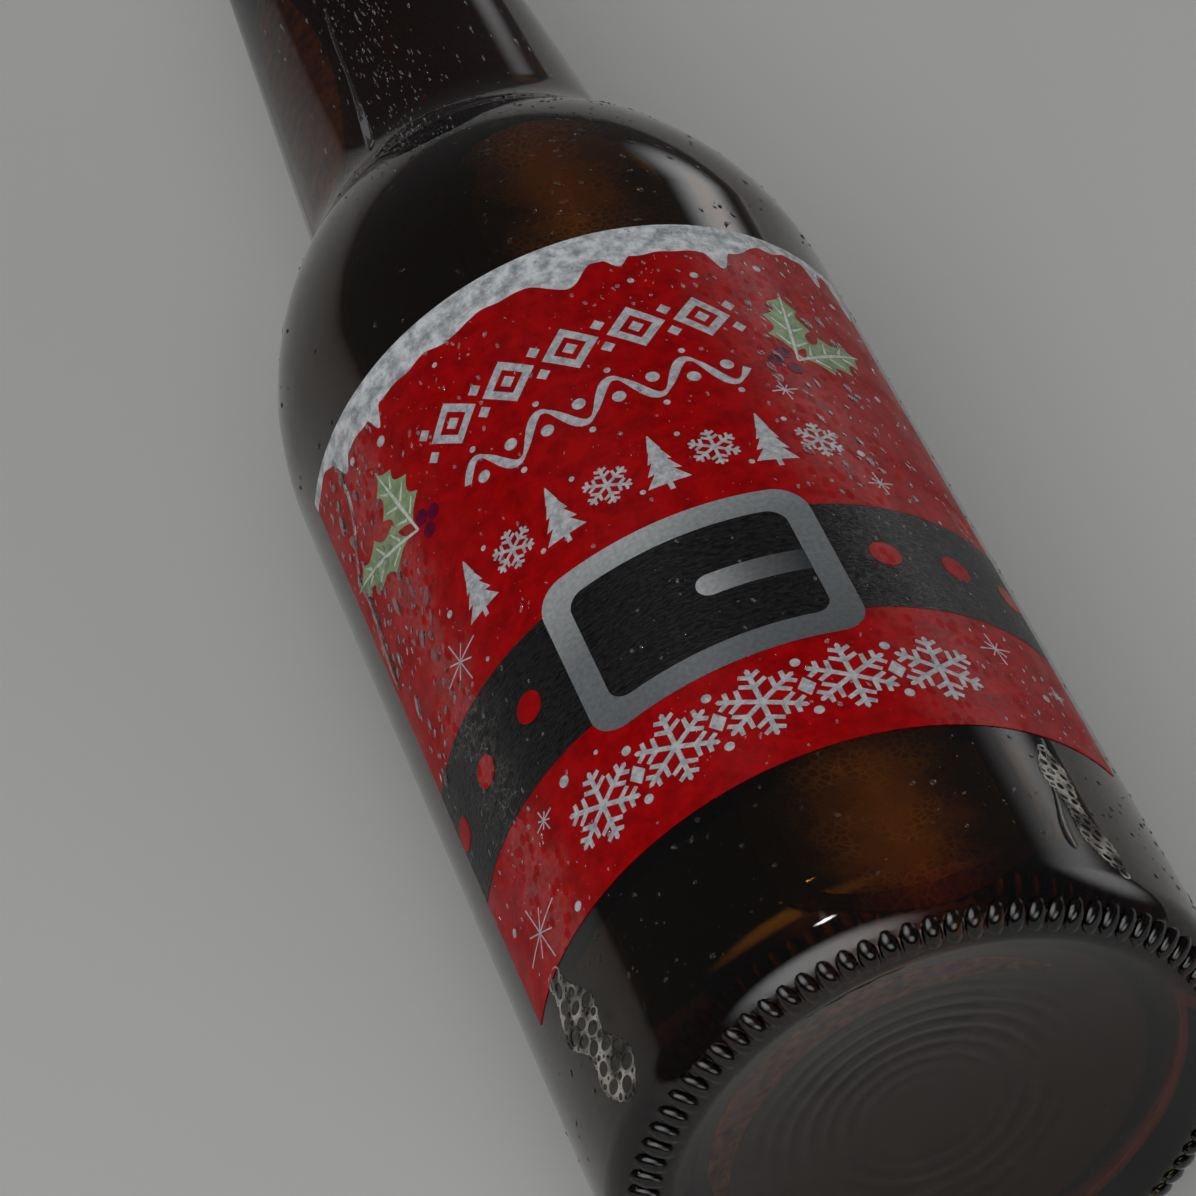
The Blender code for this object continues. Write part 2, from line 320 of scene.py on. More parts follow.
soaked = add_node(tree, "ShaderNodeMix", {0: thin.outputs[0], 6: foam.outputs[2], 7: linear("#1C0F05")},
                  data_type="RGBA")
dimple = add_node(tree, "ShaderNodeBump", {"Height": walls.outputs[0], "Strength": 0.3, "Distance": 0.0001})
connect(tree, shader, {"Base Color": soaked.outputs[2], "Roughness": 0.5, "Normal": dimple.outputs[0],
                       "IOR": 1.34})

froth = turned("froth_layer", inside_profile(-INTO_WALL * 0.6) + bore_top)
cut_level(froth, BEER_LEVEL - 0.05 * MM, "above")
cut_level(froth, BEER_LEVEL + FROTH_DEPTH, "below")
smooth(froth, 40)
froth.data.materials.append(froth_foam)
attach(froth, "root")


# Clinging froth: more of it has crept round the inside of the base, where it shows through the punt as
# an amber crescent, and a patch of it sticks to the left side of the neck.
CRESCENT_RADIUS = 20.3 * MM
CRESCENT_WIDTH = 5.0 * MM
CRESCENT_TURNS = (-105.0, 32.0)
NECK_PATCH_MIDDLE = -66.0
NECK_PATCH_SPAN = 42.0
NECK_PATCH_HEIGHTS = (138.0 * MM, 182.0 * MM)
CLINGING_THICKNESS = 0.3 * MM

# Wet froth: amber, paler where it is thick.
clinging_froth, tree, shader = new_material("clinging_froth")
where = add_node(tree, "ShaderNodeTexCoord", {}).outputs["Object"]
clumps = add_node(tree, "ShaderNodeTexNoise", {"Vector": where, "Scale": 1 / 0.0014, "Detail": 3.0})
patchy = add_node(tree, "ShaderNodeMapRange", {"Value": clumps.outputs[0], "From Min": 0.3, "From Max": 0.7})
tone = add_node(tree, "ShaderNodeMix", {0: patchy.outputs[0], 6: linear("#7A430C"), 7: linear("#D08A2C")},
                data_type="RGBA")
connect(tree, shader, {"Base Color": tone.outputs[2], "Roughness": 0.6})


def tapered(share):
    """How wide a patch is along its length: full in the middle and narrow at both ends."""
    return max(math.sin(math.pi * share), 0.06) ** 0.7


def on_base(share, aside):
    """A place on the inside of the base, along the crescent and across it."""
    turn = math.radians(CRESCENT_TURNS[0] + (CRESCENT_TURNS[1] - CRESCENT_TURNS[0]) * share)
    radius = CRESCENT_RADIUS + aside * CRESCENT_WIDTH * tapered(share)
    return (AXIS_X + radius * math.sin(turn), BASE_Y + punt_height(radius) + BASE_THICKNESS,
            AXIS_Z + radius * math.cos(turn))


def in_neck(share, aside):
    """A place on the inside of the neck, along the patch and across it."""
    inside = np.array(inside_profile(CLINGING_THICKNESS))
    height = NECK_PATCH_HEIGHTS[0] + (NECK_PATCH_HEIGHTS[1] - NECK_PATCH_HEIGHTS[0]) * share
    turn = math.radians(NECK_PATCH_MIDDLE + NECK_PATCH_SPAN * aside * tapered(share))
    radius = np.interp(height, inside[:, 1], inside[:, 0])
    return (AXIS_X + radius * math.sin(turn), BASE_Y + height, AXIS_Z + radius * math.cos(turn))


for name, columns, rows, place in (("froth_crescent", 72, 3, on_base), ("froth_neck", 30, 12, in_neck)):
    bpy.ops.object.select_all(action="DESELECT")
    bpy.ops.mesh.primitive_grid_add(x_subdivisions=columns, y_subdivisions=rows, size=1)
    patch = bpy.context.object
    patch.name = name
    for vertex in patch.data.vertices:
        vertex.co = place(vertex.co.x + 0.5, vertex.co.y)
    select_only(patch)
    skin = patch.modifiers.new("skin", "SOLIDIFY")
    skin.thickness = CLINGING_THICKNESS
    skin.offset = 0
    bpy.ops.object.modifier_apply(modifier=skin.name)
    smooth(patch, 40)
    patch.data.materials.append(clinging_froth)
    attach(patch, "root")


# Bottle: brown glass, blown in a two-part mould, with a shallow punt, a ring of knurls on its heel and
# a crown finish. Where it lies it is worn to a narrow flat.
LIP_RADIUS = 10.4 * MM
LOCKING_RING_RADIUS = 13.1 * MM
GROOVE_RADIUS = 12.4 * MM
BEAD_RADIUS = 14.2 * MM
KNURLS = 90
KNURL_LENGTH = 3.2 * MM
KNURL_WIDTH = 1.9 * MM
KNURL_RISE = 0.6 * MM
KNURL_TILT = math.radians(29)
MOULD_RING_PITCH = 1.9 * MM
MOULD_RING_RISE = 0.14 * MM
SEAM_RISE = 0.08 * MM
SEAM_START = SHOULDER_START + 6.0 * MM


def softened(points, rounds):
    """Cut the corners off an open line of points, again and again, until it runs round."""
    for _ in range(rounds):
        cut = [points[0]]
        for (r0, h0), (r1, h1) in zip(points, points[1:]):
            cut += [(r0 * 0.75 + r1 * 0.25, h0 * 0.75 + h1 * 0.25), (r0 * 0.25 + r1 * 0.75, h0 * 0.25 + h1 * 0.75)]
        points = cut + [points[-1]]
    return points


def finish_profile():
    """The crown finish, from the bore over the lip and down to the neck."""
    points = [(BORE_RADIUS, -12.0), (BORE_RADIUS, -1.0), (BORE_RADIUS + 0.9 * MM, 0.0), (LIP_RADIUS, -0.3),
              (LOCKING_RING_RADIUS - 1.0 * MM, -2.4), (LOCKING_RING_RADIUS, -4.4),
              (LOCKING_RING_RADIUS - 0.2 * MM, -5.6), (GROOVE_RADIUS, -6.4), (GROOVE_RADIUS, -8.6),
              (BEAD_RADIUS - 0.5 * MM, -10.2), (BEAD_RADIUS, -11.4), (BEAD_RADIUS, -14.4),
              (BEAD_RADIUS - 0.5 * MM, -15.8), (NECK_TOP_RADIUS, -18.0)]
    return softened([(radius, MOUTH_HEIGHT + height * MM) for radius, height in points], 2)


def base_profile():
    """The heel, and the punt with the rings that the mould's turned base plate leaves."""
    points = arc((HEEL_CENTRE_RADIUS, BEARING_HEIGHT + HEEL_RADIUS), HEEL_RADIUS, 0, -math.pi / 2, 10)
    for i in range(1, 41):
        radius = HEEL_CENTRE_RADIUS * (1 - i / 40)
        share = math.exp(-((radius - 11 * MM) / (5.5 * MM)) ** 2)
        ring = MOULD_RING_RISE * share * math.cos(2 * math.pi * radius / MOULD_RING_PITCH)
        points.append((radius, punt_height(radius) + ring))
    return points


glass_profile = inside_profile(0.0)[:-1] + finish_profile() + shoulder_and_throat(0.0)[::-1] + base_profile()
bottle = turned("brown_glass_bottle", glass_profile)

# The mould's two halves leave a fine ridge along both sides.
spots = np.empty(len(bottle.data.vertices) * 3)
bottle.data.vertices.foreach_get("co", spots)
spots = spots.reshape(-1, 3)
across, upright = spots[:, 0] - AXIS_X, spots[:, 2] - AXIS_Z
on_seam = (np.abs(upright) < 0.3 * MM) & (np.abs(across) > 12.5 * MM)
on_seam &= (spots[:, 1] > BASE_Y + SEAM_START) & (spots[:, 1] < BASE_Y + NECK_TOP)
outer = np.array(shoulder_and_throat(0.0))
on_seam &= np.abs(across) > np.interp(spots[:, 1] - BASE_Y, outer[:, 1], outer[:, 0]) - 1.0 * MM
spots[on_seam, 0] += np.sign(across[on_seam]) * SEAM_RISE
bottle.data.vertices.foreach_set("co", spots.ravel())
bottle.data.update()

bpy.ops.object.select_all(action="DESELECT")
bpy.ops.mesh.primitive_uv_sphere_add(segments=14, ring_count=10, radius=1)
knurl = bpy.context.object
knurl.scale = (KNURL_LENGTH / 2, KNURL_RISE, KNURL_WIDTH / 2)
knurl.rotation_euler = (0, 0, KNURL_TILT)
bpy.ops.object.transform_apply()
knurl.location = (HEEL_CENTRE_RADIUS + HEEL_RADIUS * math.sin(KNURL_TILT),
                  BEARING_HEIGHT + HEEL_RADIUS - HEEL_RADIUS * math.cos(KNURL_TILT), 0)
bpy.ops.object.transform_apply()
knurls = []
for i in range(KNURLS):
    select_only(knurl)
    bpy.ops.object.duplicate()
    copy = bpy.context.object
    copy.rotation_euler = (0, 2 * math.pi * (i + 0.5) / KNURLS, 0)
    bpy.ops.object.transform_apply()
    knurls.append(copy)
bpy.data.objects.remove(knurl)
select_only(knurls[0])
for copy in knurls[1:]:
    copy.select_set(True)
bpy.ops.object.join()
knurl_ring = bpy.context.object
knurl_ring.location = (AXIS_X, BASE_Y, AXIS_Z)
bpy.ops.object.transform_apply()
select_only(bottle)
union = bottle.modifiers.new("knurls", "BOOLEAN")
union.operation = "UNION"
union.object = knurl_ring
bpy.ops.object.modifier_apply(modifier=union.name)
bpy.data.objects.remove(knurl_ring)
cut_level(bottle, 0.0, "above")
smooth(bottle, 38)

# Amber container glass: the wall passes half of the red light, a fifth of the green and almost no blue.
# Its fire-polished face is quite smooth but not quite even, so reflections in it waver.
brown_glass, tree, shader = new_material("amber_container_glass")
where = add_node(tree, "ShaderNodeTexCoord", {}).outputs["Object"]
waver = add_node(tree, "ShaderNodeTexNoise", {"Vector": where, "Scale": 1 / 0.022, "Detail": 0.0})
skin = add_node(tree, "ShaderNodeBump", {"Height": waver.outputs[0], "Strength": 0.12, "Distance": 0.002})
connect(tree, shader, {"Base Color": linear("#FFFFFF"), "Roughness": 0.0, "IOR": 1.52, "Transmission Weight": 1.0,
                       "Normal": skin.outputs[0]})
depth = add_node(tree, "ShaderNodeVolumeAbsorption", {"Color": linear("#EBD829"), "Density": 1200.0})
tree.links.new(depth.outputs[0], tree.nodes["Material Output"].inputs["Volume"])
bottle.data.materials.append(brown_glass)
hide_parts("glass_bottle")
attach(bottle, "root")


# Label: a rectangle of wet-strength paper, printed red to its edge and glued round the body. It is drawn
# flat in millimetres, u round the bottle from the line that faces the camera, v up from its lower edge.
LABEL_BOTTOM = 22.9
LABEL_HEIGHT = 75.0
LABEL_WIDTH = 74.6
LABEL_MIDDLE = 2.6
LABEL_LEFT = LABEL_MIDDLE - LABEL_WIDTH / 2
LABEL_RIGHT = LABEL_MIDDLE + LABEL_WIDTH / 2
FACING_TURN = math.radians(-19.59)
PAPER = 0.08
PAPER_LIFT = 0.02
ROLL_STEP = 0.8
UV_SIZE = 100.0
# Two bands down the label's sides where the ink is mixed towards pale grey: painted sheen, with dried froth in it.
WET_SHEEN_BANDS = ((0.0, 0.3), (0.05, 1.0), (0.14, 0.9), (0.2, 0.0), (0.66, 0.0), (0.75, 0.5), (0.84, 0.4), (0.92, 0.1),
             (1.0, 0.0))
SHEEN_FROTH_GREY = "#CFC9C4"
PAINTED_SHEEN_SHARE = 0.1


def on_bottle(turn, height, radius):
    """Points in the frame from turns (from straight up), heights above the base and radii, in metres."""
    return np.stack([AXIS_X + radius * np.sin(turn), BASE_Y + height, AXIS_Z + radius * np.cos(turn)], axis=1)


def score(piece):
    """Cut a flat drawing across every step of its width, so that it can be rolled."""
    select_only(piece)
    bpy.ops.object.mode_set(mode="EDIT")
    corners = [corner[0] for corner in piece.bound_box]
    for step in range(math.ceil(min(corners) / ROLL_STEP), math.ceil(max(corners) / ROLL_STEP)):
        bpy.ops.mesh.select_all(action="SELECT")
        bpy.ops.mesh.bisect(plane_co=(step * ROLL_STEP, 0, 0), plane_no=(1, 0, 0), threshold=0.0005)
    bpy.ops.object.mode_set(mode="OBJECT")


def roll(piece, lift):
    """Keep the flat drawing as the piece's UV map, then roll it round the bottle, lifted off the glass."""
    mesh = piece.data
    flat = np.empty(len(mesh.vertices) * 3)
    mesh.vertices.foreach_get("co", flat)
    flat = flat.reshape(-1, 3)
    corners = np.empty(len(mesh.loops), dtype=int)
    mesh.loops.foreach_get("vertex_index", corners)
    while mesh.uv_layers:
        mesh.uv_layers.remove(mesh.uv_layers[0])
    drawing = mesh.uv_layers.new(name="label")
    drawing.data.foreach_set("uv", (flat[corners, :2] / UV_SIZE).ravel())
    turn = FACING_TURN + flat[:, 0] * MM / BODY_RADIUS
    height = (LABEL_BOTTOM + flat[:, 1]) * MM
    radius = body_radius_at(height) + (lift + flat[:, 2]) * MM
    mesh.vertices.foreach_set("co", on_bottle(turn, height, radius).ravel())
    mesh.update()


outside_line = np.array([(HEEL_CENTRE_RADIUS, BEARING_HEIGHT)] + base_profile()[10::-1][1:]
                        + shoulder_and_throat(0.0) + [(NECK_TOP_RADIUS, NECK_TOP)])


def body_radius_at(height):
    """The bottle's outer radius at heights above its base."""
    return np.interp(height, outside_line[:, 1], outside_line[:, 0])


def wet_sheen_marks(tree, where):
    """Where the print is greyed by painted sheen and dried froth: two bands down the label's sides, broken by round
    bare spots.
    """
    drift = add_node(tree, "ShaderNodeTexNoise", {"Vector": where, "Scale": UV_SIZE / 5.0, "Detail": 2.0})
    parts = add_node(tree, "ShaderNodeSeparateXYZ", {0: where})
    across = add_node(tree, "ShaderNodeMath", {0: drift.outputs[0], 1: 0.09, 2: parts.outputs[0]},
                      operation="MULTIPLY_ADD")
    share = add_node(tree, "ShaderNodeMapRange", {"Value": across.outputs[0], "From Min": -0.30, "From Max": 0.45})
    band = add_node(tree, "ShaderNodeValToRGB", {"Fac": share.outputs[0]})
    band.color_ramp.interpolation = "EASE"
    for place, grey in WET_SHEEN_BANDS:
        if place in (0.0, 1.0):
            band.color_ramp.elements[int(place)].color = (grey, grey, grey, 1)
        else:
            band.color_ramp.elements.new(place).color = (grey, grey, grey, 1)
    stretched = add_node(tree, "ShaderNodeMapping", {"Vector": where, "Scale": (1.25, 0.8, 1.0)})
    froth = add_node(tree, "ShaderNodeTexVoronoi", {"Vector": stretched.outputs[0], "Scale": UV_SIZE / 1.5})
    bare = add_node(tree, "ShaderNodeMapRange", {"Value": froth.outputs["Distance"], "From Min": 0.33, "From Max": 0.39})
    specks = add_node(tree, "ShaderNodeTexNoise", {"Vector": where, "Scale": UV_SIZE / 0.7, "Detail": 1.0})
    uneven = add_node(tree, "ShaderNodeMapRange", {"Value": specks.outputs[0], "From Min": 0.35, "From Max": 0.62,
                                                   "To Min": 0.45, "To Max": 1.0})
    broken = add_node(tree, "ShaderNodeMath", {0: bare.outputs[0], 1: uneven.outputs[0]}, operation="MULTIPLY")
    marks = add_node(tree, "ShaderNodeMath", {0: broken.outputs[0], 1: band.outputs[0]}, operation="MULTIPLY")
    return marks.outputs[0]


def ink(name, colour, shade, blotch, roughness, fibre=0.35):
    """Offset ink on damp label paper, broken into a second shade, with the paper's fibres under it."""
    material, tree, shader = new_material(name)
    where = add_node(tree, "ShaderNodeUVMap", {}, uv_map="label").outputs["UV"]
    blotches = add_node(tree, "ShaderNodeTexNoise", {"Vector": where, "Scale": UV_SIZE / blotch, "Detail": 3.0,
                                                     "Roughness": 0.7})
    amount = add_node(tree, "ShaderNodeMapRange", {"Value": blotches.outputs[0], "From Min": 0.38, "From Max": 0.66})
    tone = add_node(tree, "ShaderNodeMix", {0: amount.outputs[0], 6: linear(colour), 7: linear(shade)},
                    data_type="RGBA")
    marks = wet_sheen_marks(tree, where)
    # Pale grey mixed into the ink in the wet bands: painted sheen, with dried froth.
    painted_sheen_amount = add_node(tree, "ShaderNodeMath", {0: marks, 1: PAINTED_SHEEN_SHARE}, operation="MULTIPLY")
    sheen_hazed_tone = add_node(tree, "ShaderNodeMix", {0: painted_sheen_amount.outputs[0], 6: tone.outputs[2], 7: linear(SHEEN_FROTH_GREY)},
                      data_type="RGBA")
    film_coat = add_node(tree, "ShaderNodeMapRange", {"Value": marks, "To Min": 0.02, "To Max": 0.18})
    fibres = add_node(tree, "ShaderNodeTexNoise", {"Vector": where, "Scale": UV_SIZE / fibre, "Detail": 1.0})
    cockle = add_node(tree, "ShaderNodeTexNoise", {"Vector": where, "Scale": UV_SIZE / 7.0, "Detail": 1.0})
    grain = add_node(tree, "ShaderNodeBump", {"Height": fibres.outputs[0], "Strength": 0.25, "Distance": 0.00004})
    waves = add_node(tree, "ShaderNodeBump", {"Height": cockle.outputs[0], "Strength": 0.35, "Distance": 0.0006,
                                              "Normal": grain.outputs[0]})
    wet = add_node(tree, "ShaderNodeMapRange", {"Value": cockle.outputs[0], "From Min": 0.35, "From Max": 0.7,
                                                "To Min": roughness * 0.7, "To Max": roughness * 1.2})
    connect(tree, shader, {"Base Color": sheen_hazed_tone.outputs[2], "Roughness": wet.outputs[0], "Normal": waves.outputs[0],
                           "Coat Weight": film_coat.outputs[0], "Coat Roughness": 0.18, "Specular IOR Level": 0.08})
    return material


# Scarlet offset ink: deep and even, with darker flecks where the paper took up water.
red_ink = ink("scarlet_offset_ink", "#B4060A", "#8E0206", 2.4, 0.46)

bpy.ops.object.select_all(action="DESELECT")
bpy.ops.mesh.primitive_grid_add(x_subdivisions=94, y_subdivisions=25, size=1)
label = bpy.context.object
label.name = "label_paper_sheet"
label.scale = (LABEL_WIDTH, LABEL_HEIGHT, 1)
bpy.ops.object.transform_apply()
label.location = (LABEL_MIDDLE, LABEL_HEIGHT / 2, 0)
bpy.ops.object.transform_apply()
label.data.materials.append(red_ink)
sheet = label.modifiers.new("paper", "SOLIDIFY")
sheet.thickness = PAPER
sheet.offset = 1
bpy.ops.object.modifier_apply(modifier=sheet.name)
roll(label, PAPER_LIFT)
smooth(label, 40)
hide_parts("label")
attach(label, "root")


# Snow edge: a band of frost printed along the label's top, which hangs down in drips of uneven length.
# It is a thick white ink, mottled grey like packed snow.
INK_FILM = 0.03
INK_LIFT = PAPER_LIFT + PAPER + 0.005
SNOW_DEPTH = 4.4
SNOW_END_DEPTH = 1.3
SNOW_DRIPS = [(-26.0, 2.2, 1.5), (-19.0, 2.6, 1.1), (-8.0, 0.7, 2.6), (4.8, 2.5, 3.4), (10.8, 1.5, 1.4),
              (21.6, 2.6, 1.5), (29.5, 1.0, 2.0), (35.2, 2.9, 1.2), (39.2, 5.6, 1.3)]


def film(name, outlines, lift, material, thickness=INK_FILM):
    """A film of ink inside closed outlines of (u, v), rolled on the label; an outline inside another is a hole."""
    curve = bpy.data.curves.new(name, "CURVE")
    curve.dimensions = "2D"
    curve.fill_mode = "BOTH"
    curve.extrude = thickness / 2
    for outline in outlines:
        spline = curve.splines.new("POLY")
        spline.points.add(len(outline) - 1)
        spline.use_cyclic_u = True
        for point, (u, v) in zip(spline.points, outline):
            point.co = (u, v, 0, 1)
    piece = bpy.data.objects.new(name, curve)
    bpy.context.collection.objects.link(piece)
    select_only(piece)
    bpy.ops.object.convert(target="MESH")
    piece = bpy.context.object
    bpy.ops.object.mode_set(mode="EDIT")
    bpy.ops.mesh.select_all(action="SELECT")
    bpy.ops.mesh.remove_doubles(threshold=0.002)
    bpy.ops.mesh.normals_make_consistent(inside=False)
    bpy.ops.object.mode_set(mode="OBJECT")
    score(piece)
    roll(piece, lift + thickness / 2)
    smooth(piece, 40)
    piece.data.materials.append(material)
    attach(piece, "root")
    return piece


def snow_depth(u):
    """How far the snow reaches down from the label's top edge."""
    left = min(max((u + 30.0) / 6.0, 0), 1)
    right = min(max((29.0 - u) / 6.0, 0), 1)
    share = min(left * left * (3 - 2 * left), right * right * (3 - 2 * right))
    depth = SNOW_END_DEPTH + (SNOW_DEPTH - SNOW_END_DEPTH) * share + 0.22 * math.sin(u * 1.3) * math.sin(u * 0.37)
    for place, drip, half_width in SNOW_DRIPS:
        reach = abs(u - place) / half_width
        if reach < 1:
            depth += drip * (0.5 + 0.5 * math.cos(math.pi * reach)) ** 0.75
    return depth


# Frost-white ink: opaque white with a cold grey mottle two millimetres wide, matt where it is dry.
frost_ink = ink("frost_white_ink", "#E6E9EB", "#969BA0", 1.7, 0.5, fibre=0.5)

snow_steps = 260
snow_line = []
for i in range(snow_steps + 1):
    u = LABEL_LEFT + LABEL_WIDTH * i / snow_steps
    snow_line.append((u, LABEL_HEIGHT - snow_depth(u)))
film("snow_edge", [snow_line + [(LABEL_RIGHT, LABEL_HEIGHT), (LABEL_LEFT, LABEL_HEIGHT)]],
     INK_LIFT, frost_ink)


# Belt: a black band printed right across the label, with the creases of old leather and round red holes
# on both sides of its buckle.
BELT_LOW = 16.1
BELT_HIGH = 31.0
HOLE_RADIUS = 1.65
HOLE_HEIGHT = 23.8
HOLE_PLACES = (19.3, 27.6, 35.6)
TOP_LIFT = INK_LIFT + INK_FILM + 0.005

# Black ink over a leather pattern: creases run round the bottle, 1 mm long and 0.3 mm wide, and their
# crests catch the light.
leather_ink, tree, shader = new_material("leather_black_ink")
where = add_node(tree, "ShaderNodeUVMap", {}, uv_map="label").outputs["UV"]
stretched = add_node(tree, "ShaderNodeMapping", {"Vector": where, "Scale": (0.4, 1.0, 1.0),
                                                 "Rotation": (0, 0, math.radians(4))})
creases = add_node(tree, "ShaderNodeTexNoise", {"Vector": stretched.outputs[0], "Scale": UV_SIZE / 0.36,
                                                "Detail": 2.0, "Roughness": 0.6, "Distortion": 0.6})
ridge = add_node(tree, "ShaderNodeMapRange", {"Value": creases.outputs[0], "From Min": 0.35, "From Max": 0.68})
tone = add_node(tree, "ShaderNodeMix", {0: ridge.outputs[0], 6: linear("#040404"), 7: linear("#262323")},
                data_type="RGBA")
# A net of pale threads mixed into the black ink in the wet bands: painted sheen, with dried froth.
crackle = add_node(tree, "ShaderNodeTexVoronoi", {"Vector": where, "Scale": UV_SIZE / 0.75},
                   feature="DISTANCE_TO_EDGE")
threads = add_node(tree, "ShaderNodeMapRange", {"Value": crackle.outputs["Distance"], "From Max": 0.09,
                                                "To Min": 0.24, "To Max": 0.03})
painted_sheen_amount = add_node(tree, "ShaderNodeMath", {0: wet_sheen_marks(tree, where), 1: threads.outputs[0]}, operation="MULTIPLY")
sheen_hazed_tone = add_node(tree, "ShaderNodeMix", {0: painted_sheen_amount.outputs[0], 6: tone.outputs[2], 7: linear(SHEEN_FROTH_GREY)},
                  data_type="RGBA")
relief = add_node(tree, "ShaderNodeBump", {"Height": ridge.outputs[0], "Strength": 0.7, "Distance": 0.00009})
connect(tree, shader, {"Base Color": sheen_hazed_tone.outputs[2], "Roughness": 0.45, "Normal": relief.outputs[0],
                       "Specular IOR Level": 0.22, "Coat Weight": 0.05, "Coat Roughness": 0.2})


def rectangle(u_low, u_high, v_low, v_high):
    """A plain outline."""
    return [(u_low, v_low), (u_high, v_low), (u_high, v_high), (u_low, v_high)]


def disc(u, v, radius, points=28):
    """A round outline."""
    turns = [2 * math.pi * i / points for i in range(points)]
    return [(u + radius * math.cos(turn), v + radius * math.sin(turn)) for turn in turns]


film("belt", [rectangle(LABEL_LEFT, LABEL_RIGHT, BELT_LOW, BELT_HIGH)], INK_LIFT, leather_ink)
holes = [disc(LABEL_MIDDLE + side * place, HOLE_HEIGHT, HOLE_RADIUS) for place in HOLE_PLACES for side in (-1, 1)]
film("belt_holes", [hole for hole in holes if hole[14][0] > LABEL_LEFT and hole[0][0] < LABEL_RIGHT],
     TOP_LIFT, red_ink)


# Buckle: a silver frame with a prong, printed over the belt. The ink is shaded from bright at the top
# to grey at the bottom, so that it looks like rounded metal.
BUCKLE_WIDTH = 28.1
BUCKLE_HEIGHT = 20.2
BUCKLE_BAR = 2.85
BUCKLE_MIDDLE = (LABEL_MIDDLE, 23.5)
BUCKLE_CORNER = 3.2
BUCKLE_INNER_CORNER = 1.9
PRONG_LEFT = 2.8
PRONG_HALF = 1.35


def rounded(middle, width, height, corner):
    """A rectangle with round corners."""
    u, v = middle
    outline = []
    for quarter, (side, up) in enumerate(((1, 1), (-1, 1), (-1, -1), (1, -1))):
        centre = (u + side * (width / 2 - corner), v + up * (height / 2 - corner))
        outline += arc(centre, corner, math.pi / 2 * quarter, math.pi / 2 * (quarter + 1), 8)
    return outline


def shaded_silver(name, stops, direction, low, high):
    """Silver ink with a printed shade along a direction, between two places across the drawing."""
    material, tree, shader = new_material(name)
    where = add_node(tree, "ShaderNodeUVMap", {}, uv_map="label").outputs["UV"]
    along = add_node(tree, "ShaderNodeVectorMath", {0: where, 1: direction}, operation="DOT_PRODUCT")
    share = add_node(tree, "ShaderNodeMapRange", {"Value": along.outputs["Value"], "From Min": low / UV_SIZE,
                                                  "From Max": high / UV_SIZE})
    ramp = add_node(tree, "ShaderNodeValToRGB", {"Fac": share.outputs[0]})
    ramp.color_ramp.elements[0].color = linear(stops[0])
    ramp.color_ramp.elements[1].color = linear(stops[-1])
    for i, stop in enumerate(stops[1:-1]):
        ramp.color_ramp.elements.new((i + 1) / (len(stops) - 1)).color = linear(stop)
    grains = add_node(tree, "ShaderNodeTexNoise", {"Vector": where, "Scale": UV_SIZE / 0.5, "Detail": 2.0})
    speck = add_node(tree, "ShaderNodeMapRange", {"Value": grains.outputs[0], "From Min": 0.3, "From Max": 0.7,
                                                  "To Min": 0.72, "To Max": 1.0})
    tone = add_node(tree, "ShaderNodeMix", {0: 1.0, 6: ramp.outputs[0], 7: speck.outputs[0]}, data_type="RGBA",
                    blend_type="MULTIPLY")
    grain = add_node(tree, "ShaderNodeBump", {"Height": grains.outputs[0], "Strength": 0.25, "Distance": 0.00004})
    connect(tree, shader, {"Base Color": tone.outputs[2], "Roughness": 0.4, "Metallic": 0.25,
                           "Normal": grain.outputs[0], "Coat Weight": 0.25, "Coat Roughness": 0.12})
    return material


# Silver ink: fine aluminium flake in varnish, so it is softly bright with a grey speckle.
buckle_ink = shaded_silver("silver_flake_ink", ("#6E7275", "#83878A", "#8F9396", "#C9CCCE"), (-0.3, 1.0, 0.0),
                           BUCKLE_MIDDLE[1] - BUCKLE_HEIGHT / 2 - 4.0, BUCKLE_MIDDLE[1] + BUCKLE_HEIGHT / 2 + 1.0)
prong_ink = shaded_silver("prong_silver_ink", ("#C9CCCE", "#7C7F82", "#3E3F41"), (1.0, 0.0, 0.0),
                          PRONG_LEFT, LABEL_MIDDLE + BUCKLE_WIDTH / 2 - BUCKLE_BAR)

film("buckle_frame", [rounded(BUCKLE_MIDDLE, BUCKLE_WIDTH, BUCKLE_HEIGHT, BUCKLE_CORNER),
                      rounded(BUCKLE_MIDDLE, BUCKLE_WIDTH - 2 * BUCKLE_BAR, BUCKLE_HEIGHT - 2 * BUCKLE_BAR,
                              BUCKLE_INNER_CORNER)], TOP_LIFT, buckle_ink)
prong_right = LABEL_MIDDLE + BUCKLE_WIDTH / 2 - BUCKLE_BAR - 0.05
prong = arc((PRONG_LEFT + PRONG_HALF, BUCKLE_MIDDLE[1]), PRONG_HALF, math.pi / 2, math.pi * 1.5, 14)
prong += [(prong_right, BUCKLE_MIDDLE[1] - PRONG_HALF), (prong_right, BUCKLE_MIDDLE[1] + PRONG_HALF)]
film("buckle_prong", [prong], TOP_LIFT, prong_ink)


# Holly: two sprigs near the label's upper corners, each of two spiny leaves and a few dark berries.
# The leaves are a soft green with pale veins, printed flat.
SPRIGS = [((-19.9, 53.2), ((-22.1, 64.6), (-33.3, 59.2)), ((-18.9, 54.0), (-17.3, 53.1), (-18.6, 51.8))),
          ((24.4, 53.6), ((26.8, 65.3), (34.6, 58.4)), ((23.1, 54.6), (21.7, 53.2), (23.5, 52.2)))]
LEAF_HALF_WIDTH = 2.75
LEAF_SPINES = 3
BERRY_RADIUS = 0.85


